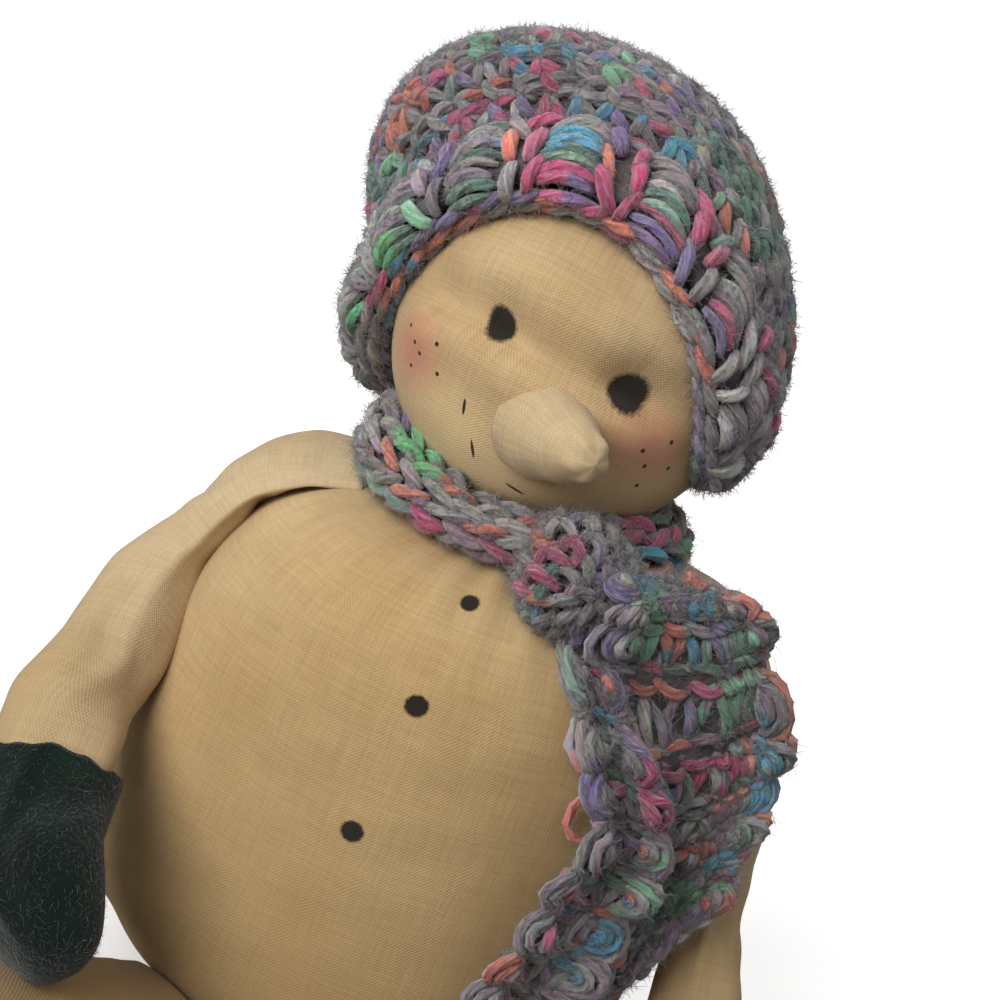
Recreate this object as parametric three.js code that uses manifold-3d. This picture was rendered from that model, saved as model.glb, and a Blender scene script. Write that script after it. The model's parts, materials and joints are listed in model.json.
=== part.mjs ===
// A seated cloth snowman doll: muslin covers over stuffing, felt mittens, a crocheted hat and scarf.
// Millimetres. +Z is up, the seat lies on z = 0, the doll faces -Y and its left hand is on +X.
import * as THREE from 'three';
import { mergeVertices } from 'three/addons/utils/BufferGeometryUtils.js';
import Module from 'manifold-3d';

const wasm = await Module();
wasm.setup();

// Cloth, thread and clearances
const CLEARANCE = 0.3;
const MUSLIN = 0.8;
const FELT = 1.5;
const THREAD = 1;
const CROCHET = 3.5;

// Body: a ball with broad shoulders, a rounded bottom edge and a flat seat
const BODY_HEIGHT = 89;
const BODY_DEPTH = 84;
const BELLY_RADIUS = 46;
const BELLY_HEIGHT = 54;
const SHOULDER_ROUNDING = 23;
const SHOULDER_FULLNESS = 39;
const SHOULDER_SLOPE = 3;
const HIP_FULLNESS = 47;
const HIP_ROUNDING = 14;
const SEAT_RADIUS = 34;
const NECK_RADIUS = 15;
const SEAT_SEAM = 2.5;
const PELLET_RADIUS = 23;
const PELLET_HEIGHT = 13;

// Head, with dents where the eyes are pulled in, and a cone nose
const HEAD_RADIUS = 29;
const HEAD_SHIFT = -2;
const NECK_OPENING = 6;
const EYE_AZIMUTH = 24;
const EYE_ELEVATION = 15;
const EYE_DENT = 2.2;
const EYE_DENT_WIDTH = 6;
const NOSE_RADIUS = 8;
const NOSE_TIP_RADIUS = 3.2;
const NOSE_LENGTH = 15;
const NOSE_AZIMUTH = 0;
const NOSE_ELEVATION = -14;
const NOSE_POINTS_TO = 32;
const NOSE_DROOP = 4;

// Arms: flat tubes sewn on the shoulders and folded over them. The right hand rests on the leg, the left
// one on the floor.
const SHOULDER_HEIGHT = 85.7;
const ARM_STANDOFF = 1.2;
const ARM_ROOT = 3.6;
const ARM_FLAT = 7;
const ARM_TIP_BACK = 15;
const ARM_WIDTH = 21;
const HAND_THICKNESS = 12;
const RIGHT_HAND_HEIGHT = 18.8;
const RIGHT_HAND_FORWARD = 58;
const RIGHT_HAND_TUCK = 17;
const LEFT_HAND_HEIGHT = 10;
const LEFT_HAND_FORWARD = 40;
const LEFT_HAND_TUCK = 3;

// Legs: flat tubes sewn on the bottom's front edge, lying on the floor
const HIP_AZIMUTH = 38;
const LEG_LENGTH = 80;
const LEG_WIDTH = 20;
const LEG_THICKNESS = 12;
const LEG_ROOT = 3.4;
const FLOOR_GAP = 0.2;

// Hat: a tall crown with a turned-up cuff, worn on the back of the head and slouched to the doll's right
const HAT_TILT = 48;
const HAT_LEAN = -2;
const HAT_SLOUCH = 9;
const HAT_EASE = 0.5;
const HAT_HEIGHT = 48;
const CROWN_RADIUS = 37;
const RIM_DEPTH = 0.3;
const RIM_LEAN = -1;
const RIM_SADDLE = 6.7;
const RIM_TURN = -21;
const RIM_NAPE = 7;
const RIM_EAR = 8;
const CUFF_DEPTH = 12;

// Scarf: a wrap in the neck's crease, a knot in front and two tails
const WRAP_RADIUS = 22.5;
const WRAP_THICKNESS = 12;
const KNOT_AZIMUTH = 21;
const KNOT_SIZE = 19;
const FRONT_TAIL_WIDTH = 14;
const SIDE_TAIL_WIDTH = 20;
const TAIL_CURL = 3;
const TAIL_RIPPLE = 1.6;
const TAIL_RIPPLES = 4;
const FRONT_TAIL_AZIMUTH = 37;
const FRONT_TAIL_END = 14;
const SIDE_TAIL_END = 40;
const SIDE_TAIL_SLANT = 9;
const SIDE_TAIL_BOW = 4;
const SIDE_TAIL_INSET = 3;
const SIDE_TAIL_FORWARD = 5;
const SIDE_TAIL_FACING = 34;

// How finely the round forms are divided
const BODY_SIDES = 28;
const BODY_STEPS = 8;
const PELLET_STEPS = 4;
const HEAD_SIDES = 26;
const HEAD_RINGS = 16;
const NOSE_SIDES = 14;
const NOSE_STEPS = 5;
const THREAD_SIDES = 8;
const LIMB_SIDES = 12;
const LIMB_STEPS = 16;
const RING_BUNCHING = 1.3;
const STUFFED_RING = 3;
const CUFF_RING = 11;
const TIP_FULLNESS = 2.6;
const HAT_SIDES = 28;
const CROWN_STEPS = 7;
const CUFF_STEPS = 3;
const WRAP_SIDES = 10;
const KNOT_SIDES = 16;
const KNOT_RINGS = 10;
const TAIL_STEPS = 18;

const radians = THREE.MathUtils.degToRad;
const lerp = THREE.MathUtils.lerp;

// The unit vector at an angle round from the front, to the doll's left, and up from the horizontal
function direction(azimuth, elevation) {
  const level = Math.cos(radians(elevation));
  const across = level * Math.sin(radians(azimuth));
  const back = -level * Math.cos(radians(azimuth));
  return new THREE.Vector3(across, back, Math.sin(radians(elevation)));
}

// A value read along a list of [share, value] stops
function along(stops, share) {
  const next = Math.max(1, stops.findIndex(([stop]) => stop >= share));
  const [from, low] = stops[next - 1];
  const [to, high] = stops[next];
  return lerp(low, high, (share - from) / (to - from));
}

// A closed geometry as a solid, with shared corners merged and its faces pointing out
function solid(geometry) {
  const bare = new THREE.BufferGeometry();
  bare.setAttribute('position', geometry.getAttribute('position').clone());
  bare.setIndex(geometry.getIndex());
  const merged = mergeVertices(bare, 1e-4);
  const points = merged.getAttribute('position');
  const corners = [0, 1, 2].map(() => new THREE.Vector3());
  const triangles = [];
  let volume = 0;
  for (let i = 0; i < merged.index.count; i += 3) {
    const face = [0, 1, 2].map((k) => merged.index.getX(i + k));
    if (new Set(face).size === 3) {
      face.forEach((corner, k) => corners[k].fromBufferAttribute(points, corner));
      volume += corners[0].dot(corners[1].clone().cross(corners[2]));
      triangles.push(face);
    }
  }
  const outward = volume > 0 ? triangles : triangles.map(([a, b, c]) => [a, c, b]);
  const mesh = new wasm.Mesh({
    numProp: 3,
    vertProperties: new Float32Array(points.array),
    triVerts: new Uint32Array(outward.flat()),
  });
  mesh.merge();
  return new wasm.Manifold(mesh);
}

// A solid back as a geometry with flat shading
function geometryOf(body) {
  const mesh = body.getMesh();
  const geometry = new THREE.BufferGeometry();
  geometry.setAttribute('position', new THREE.BufferAttribute(new Float32Array(mesh.vertProperties), 3));
  geometry.setIndex(new THREE.BufferAttribute(new Uint32Array(mesh.triVerts), 1));
  geometry.computeVertexNormals();
  return geometry;
}

// A profile of [radius, height] points moved out by a distance, its ends kept on the axis
function grownProfile(profile, distance) {
  return profile.map((point, i) => {
    const before = profile[Math.max(i - 1, 0)];
    const after = profile[Math.min(i + 1, profile.length - 1)];
    const first = new THREE.Vector2(point.y - before.y, before.x - point.x).normalize();
    const second = new THREE.Vector2(after.y - point.y, point.x - after.x).normalize();
    const normal = first.clone().add(second).normalize();
    const mitre = distance / Math.max(0.5, normal.dot(i === 0 ? second : first));
    const moved = point.clone().addScaledVector(normal, mitre);
    moved.x = point.x === 0 ? 0 : Math.max(moved.x, 0);
    moved.y = point.x === 0 ? point.y + Math.sign(normal.y) * distance : moved.y;
    return moved;
  });
}

// A profile turned about +Z
function revolve(profile, sides) {
  return new THREE.LatheGeometry(profile, sides).rotateX(Math.PI / 2);
}

// A skin through rings of points, closed by a fan at each end
function skin(rings) {
  const sides = rings[0].length;
  const centres = [rings[0], rings[rings.length - 1]].map((ring) => {
    const sum = ring.reduce((total, point) => total.add(point), new THREE.Vector3());
    return sum.divideScalar(sides);
  });
  const points = [...rings.flat(), ...centres];
  const index = [];
  const firstCentre = points.length - 2;
  const last = (rings.length - 1) * sides;
  for (let side = 0; side < sides; side += 1) {
    const next = (side + 1) % sides;
    for (let ring = 0; ring < rings.length - 1; ring += 1) {
      const low = ring * sides;
      const high = low + sides;
      index.push(low + side, low + next, high + next, low + side, high + next, high + side);
    }
    index.push(firstCentre, next, side, firstCentre + 1, last + side, last + next);
  }
  const geometry = new THREE.BufferGeometry().setFromPoints(points);
  geometry.setIndex(index);
  return geometry;
}

const bodyOutline = new THREE.Path()
  .moveTo(SEAT_RADIUS, 0)
  .bezierCurveTo(HIP_FULLNESS, 0, BELLY_RADIUS, HIP_ROUNDING, BELLY_RADIUS, BELLY_HEIGHT)
  .bezierCurveTo(
    BELLY_RADIUS, BELLY_HEIGHT + SHOULDER_ROUNDING,
    SHOULDER_FULLNESS, BODY_HEIGHT - SHOULDER_SLOPE,
    NECK_RADIUS, BODY_HEIGHT,
  )
  .getPoints(BODY_STEPS);
const bodyProfile = [new THREE.Vector2(0, 0), ...bodyOutline, new THREE.Vector2(0, BODY_HEIGHT)];
const bodySquash = BODY_DEPTH / (2 * BELLY_RADIUS);

// The body's radius to the side at a height
function bodyRadius(height) {
  const next = Math.max(1, bodyOutline.findIndex((point) => point.y >= height));
  const low = bodyOutline[next - 1];
  const high = bodyOutline[next];
  return lerp(low.x, high.x, (height - low.y) / (high.y - low.y));
}

// The height of the body's top at a radius
function bodyTop(radius) {
  const next = bodyOutline.findIndex((point) => point.y > BELLY_HEIGHT && point.x <= radius);
  const low = bodyOutline[next - 1];
  const high = bodyOutline[next];
  return lerp(low.y, high.y, (radius - low.x) / (high.x - low.x));
}

function bodySolid(growth) {
  return solid(revolve(grownProfile(bodyProfile, growth), BODY_SIDES).scale(1, bodySquash, 1));
}

const headCentre = new THREE.Vector3(HEAD_SHIFT, 0, BODY_HEIGHT + CLEARANCE + HEAD_RADIUS);

// The head's ball, drawn in at the two eyes
function headSolid(growth) {
  const ball = new THREE.SphereGeometry(1, HEAD_SIDES, HEAD_RINGS).rotateX(Math.PI / 2);
  const points = ball.getAttribute('position');
  const eyes = [-1, 1].map((side) => direction(side * EYE_AZIMUTH, EYE_ELEVATION));
  const point = new THREE.Vector3();
  for (let i = 0; i < points.count; i += 1) {
    point.fromBufferAttribute(points, i).normalize();
    const dents = eyes.map((eye) => {
      const away = HEAD_RADIUS * point.angleTo(eye) / EYE_DENT_WIDTH;
      return EYE_DENT * Math.exp(-away * away);
    });
    point.multiplyScalar(HEAD_RADIUS + growth - dents[0] - dents[1]).add(headCentre);
    points.setXYZ(i, point.x, point.y, point.z);
  }
  return solid(ball);
}

// Body
const body = bodySolid(0);
const bodyKeepOut = bodySolid(CLEARANCE);
const seatOpening = SEAT_RADIUS - SEAT_SEAM;
const seatHole = solid(
  new THREE.CylinderGeometry(seatOpening, seatOpening, 4 * MUSLIN, BODY_SIDES)
    .rotateX(Math.PI / 2).scale(1, bodySquash, 1),
);
const bodyCover = body.subtract(bodySolid(-MUSLIN)).subtract(seatHole);
const seatOutline = new THREE.Shape()
  .absellipse(0, 0, seatOpening - CLEARANCE, (seatOpening - CLEARANCE) * bodySquash, 0, 2 * Math.PI);
const seatDisc = new THREE.ExtrudeGeometry(seatOutline, {
  depth: MUSLIN, bevelEnabled: false, curveSegments: BODY_SIDES,
});
const pelletFloor = MUSLIN + CLEARANCE;
const pelletProfile = new THREE.Path()
  .moveTo(0, pelletFloor)
  .lineTo(PELLET_RADIUS - PELLET_HEIGHT / 2, pelletFloor)
  .quadraticCurveTo(PELLET_RADIUS, pelletFloor, PELLET_RADIUS, pelletFloor + PELLET_HEIGHT / 2)
  .quadraticCurveTo(PELLET_RADIUS, pelletFloor + PELLET_HEIGHT, 0, pelletFloor + PELLET_HEIGHT)
  .getPoints(PELLET_STEPS);
const pelletBag = solid(revolve(pelletProfile, BODY_SIDES));
const pelletKeepOut = solid(revolve(grownProfile(pelletProfile, CLEARANCE), BODY_SIDES));
const bodyStuffing = bodySolid(-MUSLIN - CLEARANCE).subtract(pelletKeepOut);

// Head and nose
const headKeepOut = headSolid(CLEARANCE);
const neckHole = solid(
  new THREE.CylinderGeometry(NECK_OPENING, NECK_OPENING, HEAD_RADIUS, HEAD_SIDES)
    .rotateX(Math.PI / 2).translate(HEAD_SHIFT, 0, BODY_HEIGHT),
);
const headCover = headSolid(0).subtract(headSolid(-MUSLIN)).subtract(neckHole);
const headStuffing = headSolid(-MUSLIN - CLEARANCE);
const neckThreadRadius = Math.sqrt(2 * HEAD_RADIUS * (THREAD + CLEARANCE)) + THREAD;
const neckThread = new THREE.TorusGeometry(neckThreadRadius, THREAD / 2, THREAD_SIDES, HEAD_SIDES)
  .translate(HEAD_SHIFT, 0, BODY_HEIGHT + CLEARANCE + THREAD / 2);

const noseAxis = direction(NOSE_POINTS_TO, NOSE_DROOP);
const noseBase = direction(NOSE_AZIMUTH, NOSE_ELEVATION).multiplyScalar(HEAD_RADIUS).add(headCentre);

// The nose cone with its root sunk well into the head, grown by a distance and lengthened at the root
function noseSolid(growth, root) {
  const profile = new THREE.Path()
    .moveTo(0, -root)
    .lineTo(NOSE_RADIUS + growth, -root)
    .lineTo(NOSE_RADIUS + growth, 0)
    .bezierCurveTo(
      NOSE_RADIUS + growth, NOSE_LENGTH / 2,
      NOSE_TIP_RADIUS + growth, NOSE_LENGTH + growth,
      0, NOSE_LENGTH + growth,
    )
    .getPoints(NOSE_STEPS);
  const turn = new THREE.Quaternion().setFromUnitVectors(new THREE.Vector3(0, 0, 1), noseAxis);
  const cone = revolve(profile, NOSE_SIDES).applyQuaternion(turn);
  return solid(cone.translate(noseBase.x, noseBase.y, noseBase.z));
}
const noseCover = noseSolid(0, NOSE_RADIUS)
  .subtract(noseSolid(-MUSLIN, 2 * NOSE_RADIUS))
  .subtract(headKeepOut);
const noseStuffing = noseSolid(-MUSLIN - CLEARANCE, NOSE_RADIUS).subtract(headKeepOut);

// A limb: a flattened tube along a curve, domed at its far end. The stops give half its thickness and
// half its width, growth swells it all round, first leaves out rings at the near end, and rootReach
// lengthens it back there.
function limb({ curve, side, thickness, width, dome }, growth, first = 0, rootReach = 0) {
  const rings = [];
  for (let step = first; step <= LIMB_STEPS; step += 1) {
    const share = 1 - (1 - step / LIMB_STEPS) ** RING_BUNCHING;
    const centre = curve.getPoint(share);
    const tangent = curve.getTangent(share);
    const across = side.clone().addScaledVector(tangent, -side.dot(tangent)).normalize();
    const out = new THREE.Vector3().crossVectors(tangent, across);
    const tip = Math.max(0, (share - dome) / (1 - dome));
    const shrink = (1 - tip ** TIP_FULLNESS) ** (1 / TIP_FULLNESS);
    centre.addScaledVector(tangent, step === first ? -rootReach : tip * growth);
    rings.push(Array.from({ length: LIMB_SIDES }, (_, i) => {
      const angle = 2 * Math.PI * i / LIMB_SIDES;
      return centre.clone()
        .addScaledVector(across, shrink * (along(width, share) + growth) * Math.cos(angle))
        .addScaledVector(out, shrink * (along(thickness, share) + growth) * Math.sin(angle));
    }));
  }
  return solid(skin(rings));
}

// A limb's cover, open at the root, and the stuffing inside it
function coverAndStuffing(shape, keepOut, stuffedFrom) {
  const cover = limb(shape, 0).subtract(limb(shape, -MUSLIN, 0, 2 * MUSLIN)).subtract(keepOut);
  const stuffing = limb(shape, -MUSLIN - CLEARANCE, stuffedFrom).subtract(keepOut);
  return { cover, stuffing };
}

// Arms, with side = -1 for the doll's right and 1 for its left
const shoulderLift = CLEARANCE + THREAD / 2;
const armRootOut = bodyRadius(SHOULDER_HEIGHT) + shoulderLift;
const threadOut = armRootOut - 2 * shoulderLift;
const armRootHeight = SHOULDER_HEIGHT + CLEARANCE + ARM_ROOT / 2;
const beside = BELLY_RADIUS + CLEARANCE + ARM_STANDOFF;
const armLine = beside + ARM_WIDTH * 0.45;
const handHalf = HAND_THICKNESS / 2;

// A point over the shoulder: out from the body's side at a height, by a distance along its slope
function overShoulder(height, distance) {
  const slope = new THREE.Vector2(height - BELLY_HEIGHT, bodyRadius(height) - NECK_RADIUS).normalize();
  return [bodyRadius(height) + slope.y * distance, 0, height + slope.x * distance];
}

// The points of an arm's line as [out, forward, height]: over the shoulder, beside the belly and to the hand
const shoulderLine = [
  [armRootOut, 0, armRootHeight],
  overShoulder(SHOULDER_HEIGHT - ARM_ROOT * 0.7, ARM_FLAT * 0.5),
  overShoulder(lerp(BELLY_HEIGHT, SHOULDER_HEIGHT, 0.74), ARM_FLAT * 0.65),
];
const handLines = {
  right: [
    [lerp(beside, armLine, 0.5), 0.03, 0.72],
    [lerp(beside, armLine, 0.8), 0.12, 0.6],
    [armLine, 0.34, 0.45],
    [armLine, 0.55, 0.32],
    [armLine - RIGHT_HAND_TUCK / 3, 0.8, 0.13],
    [armLine - RIGHT_HAND_TUCK, 1, 0],
  ].map(([out, forward, up]) => [
    out, forward * RIGHT_HAND_FORWARD, lerp(RIGHT_HAND_HEIGHT, SHOULDER_HEIGHT, up),
  ]),
  left: [
    [lerp(beside, armLine, 0.5), 0, 0.76],
    [lerp(beside, armLine, 0.9), 0, 0.61],
    [armLine, 0.1, 0.4],
    [armLine, 0.34, 0.18],
    [armLine, 0.65, 0.05],
    [armLine - LEFT_HAND_TUCK, 1, 0],
  ].map(([out, forward, up]) => [
    out, forward * LEFT_HAND_FORWARD, lerp(LEFT_HAND_HEIGHT, SHOULDER_HEIGHT, up),
  ]),
};

function armShape(side) {
  const line = [...shoulderLine, ...(side < 0 ? handLines.right : handLines.left)];
  return {
    curve: new THREE.CatmullRomCurve3(line.map(([out, forward, height]) => new THREE.Vector3(
      side * out, -forward, height,
    ))),
    side: new THREE.Vector3(0, Math.cos(radians(ARM_TIP_BACK)), Math.sin(radians(ARM_TIP_BACK))),
    thickness: [
      [0, ARM_ROOT / 2], [0.12, ARM_FLAT * 0.4], [0.25, ARM_FLAT * 0.56], [0.375, ARM_FLAT * 0.77],
      [0.5, ARM_WIDTH * 0.36], [0.65, ARM_WIDTH * 0.45], [0.8, ARM_WIDTH / 2], [1, ARM_WIDTH / 2],
    ],
    width: [
      [0, ARM_WIDTH * 0.4], [0.375, ARM_WIDTH * 0.44], [0.5, ARM_WIDTH * 0.38],
      [0.65, handHalf * 1.15], [1, handHalf],
    ],
    dome: 0.86,
  };
}

function arm(side) {
  const shape = armShape(side);
  const mitten = limb(shape, FELT + CLEARANCE, CUFF_RING)
    .subtract(limb(shape, CLEARANCE))
    .subtract(bodyKeepOut);
  const threadSpan = ARM_WIDTH * 0.6;
  const shoulderThread = new THREE.CylinderGeometry(THREAD / 2, THREAD / 2, threadSpan, THREAD_SIDES)
    .translate(side * threadOut, 0, bodyTop(threadOut) + shoulderLift + CLEARANCE / 2);
  return { ...coverAndStuffing(shape, bodyKeepOut, STUFFED_RING), mitten, shoulderThread };
}

// Legs, square to the body's outline where they are sewn on
const hipHeight = LEG_ROOT / 2 + FLOOR_GAP + MUSLIN;

function leg(side) {
  const radius = bodyRadius(hipHeight + CLEARANCE + THREAD / 2);
  const angle = radians(HIP_AZIMUTH);
  const across = side * Math.sin(angle);
  const ahead = -Math.cos(angle);
  const seam = new THREE.Vector3(radius * across, radius * bodySquash * ahead, hipHeight);
  const forward = new THREE.Vector3(bodySquash * across, ahead, 0).normalize();
  const lift = LEG_THICKNESS / 2 + FLOOR_GAP - hipHeight;
  const points = [[0, 0], [0.12, 0.25], [0.35, 1], [0.7, 1], [1, 1]].map(([out, up]) => seam.clone()
    .addScaledVector(forward, THREAD + 2 * CLEARANCE + out * LEG_LENGTH)
    .add(new THREE.Vector3(0, 0, up * lift)));
  const shape = {
    curve: new THREE.CatmullRomCurve3(points),
    side: new THREE.Vector3(-forward.y, forward.x, 0),
    thickness: [
      [0, LEG_ROOT / 2], [0.25, LEG_ROOT * 0.8], [0.5, LEG_THICKNESS / 2], [1, LEG_THICKNESS / 2],
    ],
    width: [
      [0, LEG_WIDTH * 0.42], [0.5, LEG_WIDTH / 2], [0.75, LEG_WIDTH * 0.48], [1, LEG_WIDTH / 2],
    ],
    dome: 0.84,
  };
  const hipThread = new THREE.CylinderGeometry(THREAD / 2, THREAD / 2, LEG_WIDTH * 0.7, THREAD_SIDES)
    .rotateZ(Math.atan2(shape.side.y, shape.side.x) - Math.PI / 2)
    .translate(...seam.clone().addScaledVector(forward, CLEARANCE + THREAD / 2).toArray());
  return { ...coverAndStuffing(shape, bodyKeepOut, STUFFED_RING), hipThread };
}

// Hat, about its own axis through the head's centre
const hatInside = HEAD_RADIUS + HAT_EASE;
const hatOutside = hatInside + CROCHET;
const cuffInside = hatOutside + CLEARANCE;
const cuffOutside = cuffInside + CROCHET;

// The hat's profile with its rim drawn down over the ears and up at the nape, and its top slouched aside
function shapeHat(geometry) {
  const points = geometry.getAttribute('position');
  for (let i = 0; i < points.count; i += 1) {
    const across = points.getX(i);
    const back = points.getY(i);
    const height = points.getZ(i);
    const angle = Math.atan2(across, -back);
    const saddle = RIM_SADDLE * Math.cos(2 * (angle - radians(RIM_TURN)));
    const nape = RIM_NAPE * Math.max(0, -Math.cos(angle)) ** 2;
    const ear = RIM_EAR * Math.max(0, Math.sin(angle)) ** 2;
    const rise = RIM_LEAN * Math.cos(angle) + saddle + nape - ear;
    const top = THREE.MathUtils.smoothstep(height, CUFF_DEPTH - RIM_DEPTH, HAT_HEIGHT * 0.8);
    points.setXYZ(i, across - HAT_SLOUCH * top, back, height + rise * (1 - top));
  }
  return geometry;
}

function placeHat(geometry) {
  return geometry
    .rotateX(-radians(HAT_TILT))
    .rotateY(radians(HAT_LEAN))
    .translate(headCentre.x, headCentre.y, headCentre.z);
}

const crownBulge = lerp(CUFF_DEPTH, HAT_HEIGHT, 0.35);
const crownProfile = new THREE.Path()
  .moveTo(0, HAT_HEIGHT - CROCHET)
  .bezierCurveTo(
    CROWN_RADIUS - CROCHET, HAT_HEIGHT - CROCHET,
    CROWN_RADIUS - CROCHET, crownBulge,
    hatInside, CUFF_DEPTH - RIM_DEPTH,
  )
  .lineTo(hatInside, -RIM_DEPTH)
  .lineTo(hatOutside, -RIM_DEPTH)
  .lineTo(hatOutside, CUFF_DEPTH - RIM_DEPTH)
  .bezierCurveTo(CROWN_RADIUS + CROCHET, crownBulge, CROWN_RADIUS, HAT_HEIGHT, 0, HAT_HEIGHT)
  .getPoints(CROWN_STEPS);
const hatCrown = placeHat(shapeHat(revolve(crownProfile, HAT_SIDES)));
const cuffProfile = new THREE.Path()
  .moveTo(cuffInside, -RIM_DEPTH)
  .quadraticCurveTo(cuffOutside, -RIM_DEPTH, cuffOutside, CROCHET - RIM_DEPTH)
  .lineTo(cuffOutside, CUFF_DEPTH - CROCHET / 2 - RIM_DEPTH)
  .quadraticCurveTo(cuffOutside, CUFF_DEPTH - RIM_DEPTH, cuffInside, CUFF_DEPTH - RIM_DEPTH)
  .lineTo(cuffInside, -RIM_DEPTH)
  .getPoints(CUFF_STEPS);
const hatCuff = placeHat(shapeHat(revolve(cuffProfile, HAT_SIDES)));

// Scarf
const creaseTop = headCentre.z - Math.sqrt(HEAD_RADIUS ** 2 - WRAP_RADIUS ** 2);
const wrapHeight = (creaseTop + bodyTop(WRAP_RADIUS)) / 2;

function wrapSolid(growth) {
  return solid(new THREE.TorusGeometry(WRAP_RADIUS, WRAP_THICKNESS / 2 + growth, WRAP_SIDES, BODY_SIDES)
    .translate(HEAD_SHIFT / 2, 0, wrapHeight));
}
const scarfWrap = wrapSolid(0).subtract(headKeepOut).subtract(bodyKeepOut);
const wrapKeepOut = wrapSolid(CLEARANCE);
const knotCentre = direction(KNOT_AZIMUTH, 0)
  .multiplyScalar(WRAP_RADIUS + WRAP_THICKNESS / 2 + KNOT_SIZE / 5)
  .add(new THREE.Vector3(0, 0, wrapHeight - KNOT_SIZE / 8));

function knotSolid(growth) {
  const half = KNOT_SIZE / 2 + growth;
  return solid(new THREE.SphereGeometry(half, KNOT_SIDES, KNOT_RINGS)
    .scale(1, 0.85, 1)
    .translate(knotCentre.x, knotCentre.y, knotCentre.z));
}
const scarfKnot = knotSolid(0).subtract(wrapKeepOut).subtract(bodyKeepOut).subtract(headKeepOut);
const knotKeepOut = knotSolid(CLEARANCE);

// A tail of crochet: face(share, column, layer) gives the points of its back and front, share running
// down the tail, column across it from -1 to 1 and layer through its thickness
const tailWidening = [[0, 0.35], [0.3, 0.8], [0.7, 1], [1, 0.95]];
const tailCurling = [[0, 0.2], [0.4, 1], [1, 0.7]];

function tail(face) {
  const columns = [-1, -0.6, -0.2, 0.2, 0.6, 1];
  const rings = Array.from({ length: TAIL_STEPS + 1 }, (_, step) => [
    ...columns.map((column) => face(step / TAIL_STEPS, column, 1)),
    ...columns.toReversed().map((column) => face(step / TAIL_STEPS, column, 0)),
  ]);
  return solid(skin(rings)).subtract(knotKeepOut).subtract(wrapKeepOut).subtract(bodyKeepOut);
}

// How far a tail's face stands forward: its edges curl and ripple
function tailForward(share, column) {
  const edge = column * column;
  const ripple = TAIL_RIPPLE * (1 + Math.sin(2 * Math.PI * TAIL_RIPPLES * share + 2 * column));
  return (TAIL_CURL + ripple) * edge * along(tailCurling, share);
}

// The front tail lies round the belly, falls straight from its widest ring and curls at its edges
function frontTailFace(share, column, layer) {
  const height = lerp(wrapHeight - KNOT_SIZE / 2, FRONT_TAIL_END, share);
  const girth = height > BELLY_HEIGHT ? bodyRadius(height) : BELLY_RADIUS;
  const radius = girth + 2 * CLEARANCE + tailForward(share, column) + layer * CROCHET;
  const half = THREE.MathUtils.radToDeg(FRONT_TAIL_WIDTH / 2 / BELLY_RADIUS) * along(tailWidening, share);
  const middle = lerp(KNOT_AZIMUTH, FRONT_TAIL_AZIMUTH, Math.min(1, 3 * share));
  const point = direction(middle + column * half, 0).multiplyScalar(radius);
  return point.setY(point.y * bodySquash).setZ(height);
}

// The side tail comes over the front of the shoulder and hangs before the arm
const sideTailOut = direction(SIDE_TAIL_FACING, 0);
const sideTailAcross = new THREE.Vector3(-sideTailOut.y, sideTailOut.x, 0);
const sideTailPlace = new THREE.Vector3(
  BELLY_RADIUS - SIDE_TAIL_INSET,
  -ARM_WIDTH / 2 - SIDE_TAIL_FORWARD - SIDE_TAIL_WIDTH / 2 * sideTailAcross.y,
  0,
);
const sideTailStart = knotCentre.clone().add(new THREE.Vector3(KNOT_SIZE * 0.4, 0, KNOT_SIZE * 0.15));
const sideTailCurve = new THREE.CatmullRomCurve3([
  sideTailStart,
  sideTailPlace.clone()
    .lerp(sideTailStart, 0.45)
    .addScaledVector(sideTailOut, SIDE_TAIL_BOW)
    .setZ(SHOULDER_HEIGHT + SIDE_TAIL_BOW),
  ...[0.7, 0.35, 0].map((share) => sideTailPlace.clone().setZ(lerp(SIDE_TAIL_END, SHOULDER_HEIGHT, share))),
]);

function sideTailFace(share, column, layer) {
  const half = SIDE_TAIL_WIDTH / 2 * along(tailWidening, share);
  return sideTailCurve.getPoint(share)
    .addScaledVector(sideTailAcross, column * half)
    .addScaledVector(sideTailOut, tailForward(share, column) + layer * CROCHET)
    .setZ(sideTailCurve.getPoint(share).z + SIDE_TAIL_SLANT * column * share);
}

// Finishes, as seen on the doll
const muslin = new THREE.MeshStandardMaterial({ color: 0xc4a677, roughness: 0.95, metalness: 0 });
const fibre = new THREE.MeshStandardMaterial({ color: 0xf1ede4, roughness: 1, metalness: 0 });
const thread = new THREE.MeshStandardMaterial({ color: 0xd9c9a6, roughness: 0.8, metalness: 0 });
const felt = new THREE.MeshStandardMaterial({ color: 0x16301f, roughness: 1, metalness: 0 });
const crochet = new THREE.MeshStandardMaterial({ color: 0x7f787c, roughness: 0.95, metalness: 0 });

const doll = new THREE.Group();

function add(name, shape, material) {
  const mesh = new THREE.Mesh(shape.isBufferGeometry ? shape : geometryOf(shape), material);
  mesh.name = name;
  doll.add(mesh);
}

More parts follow.
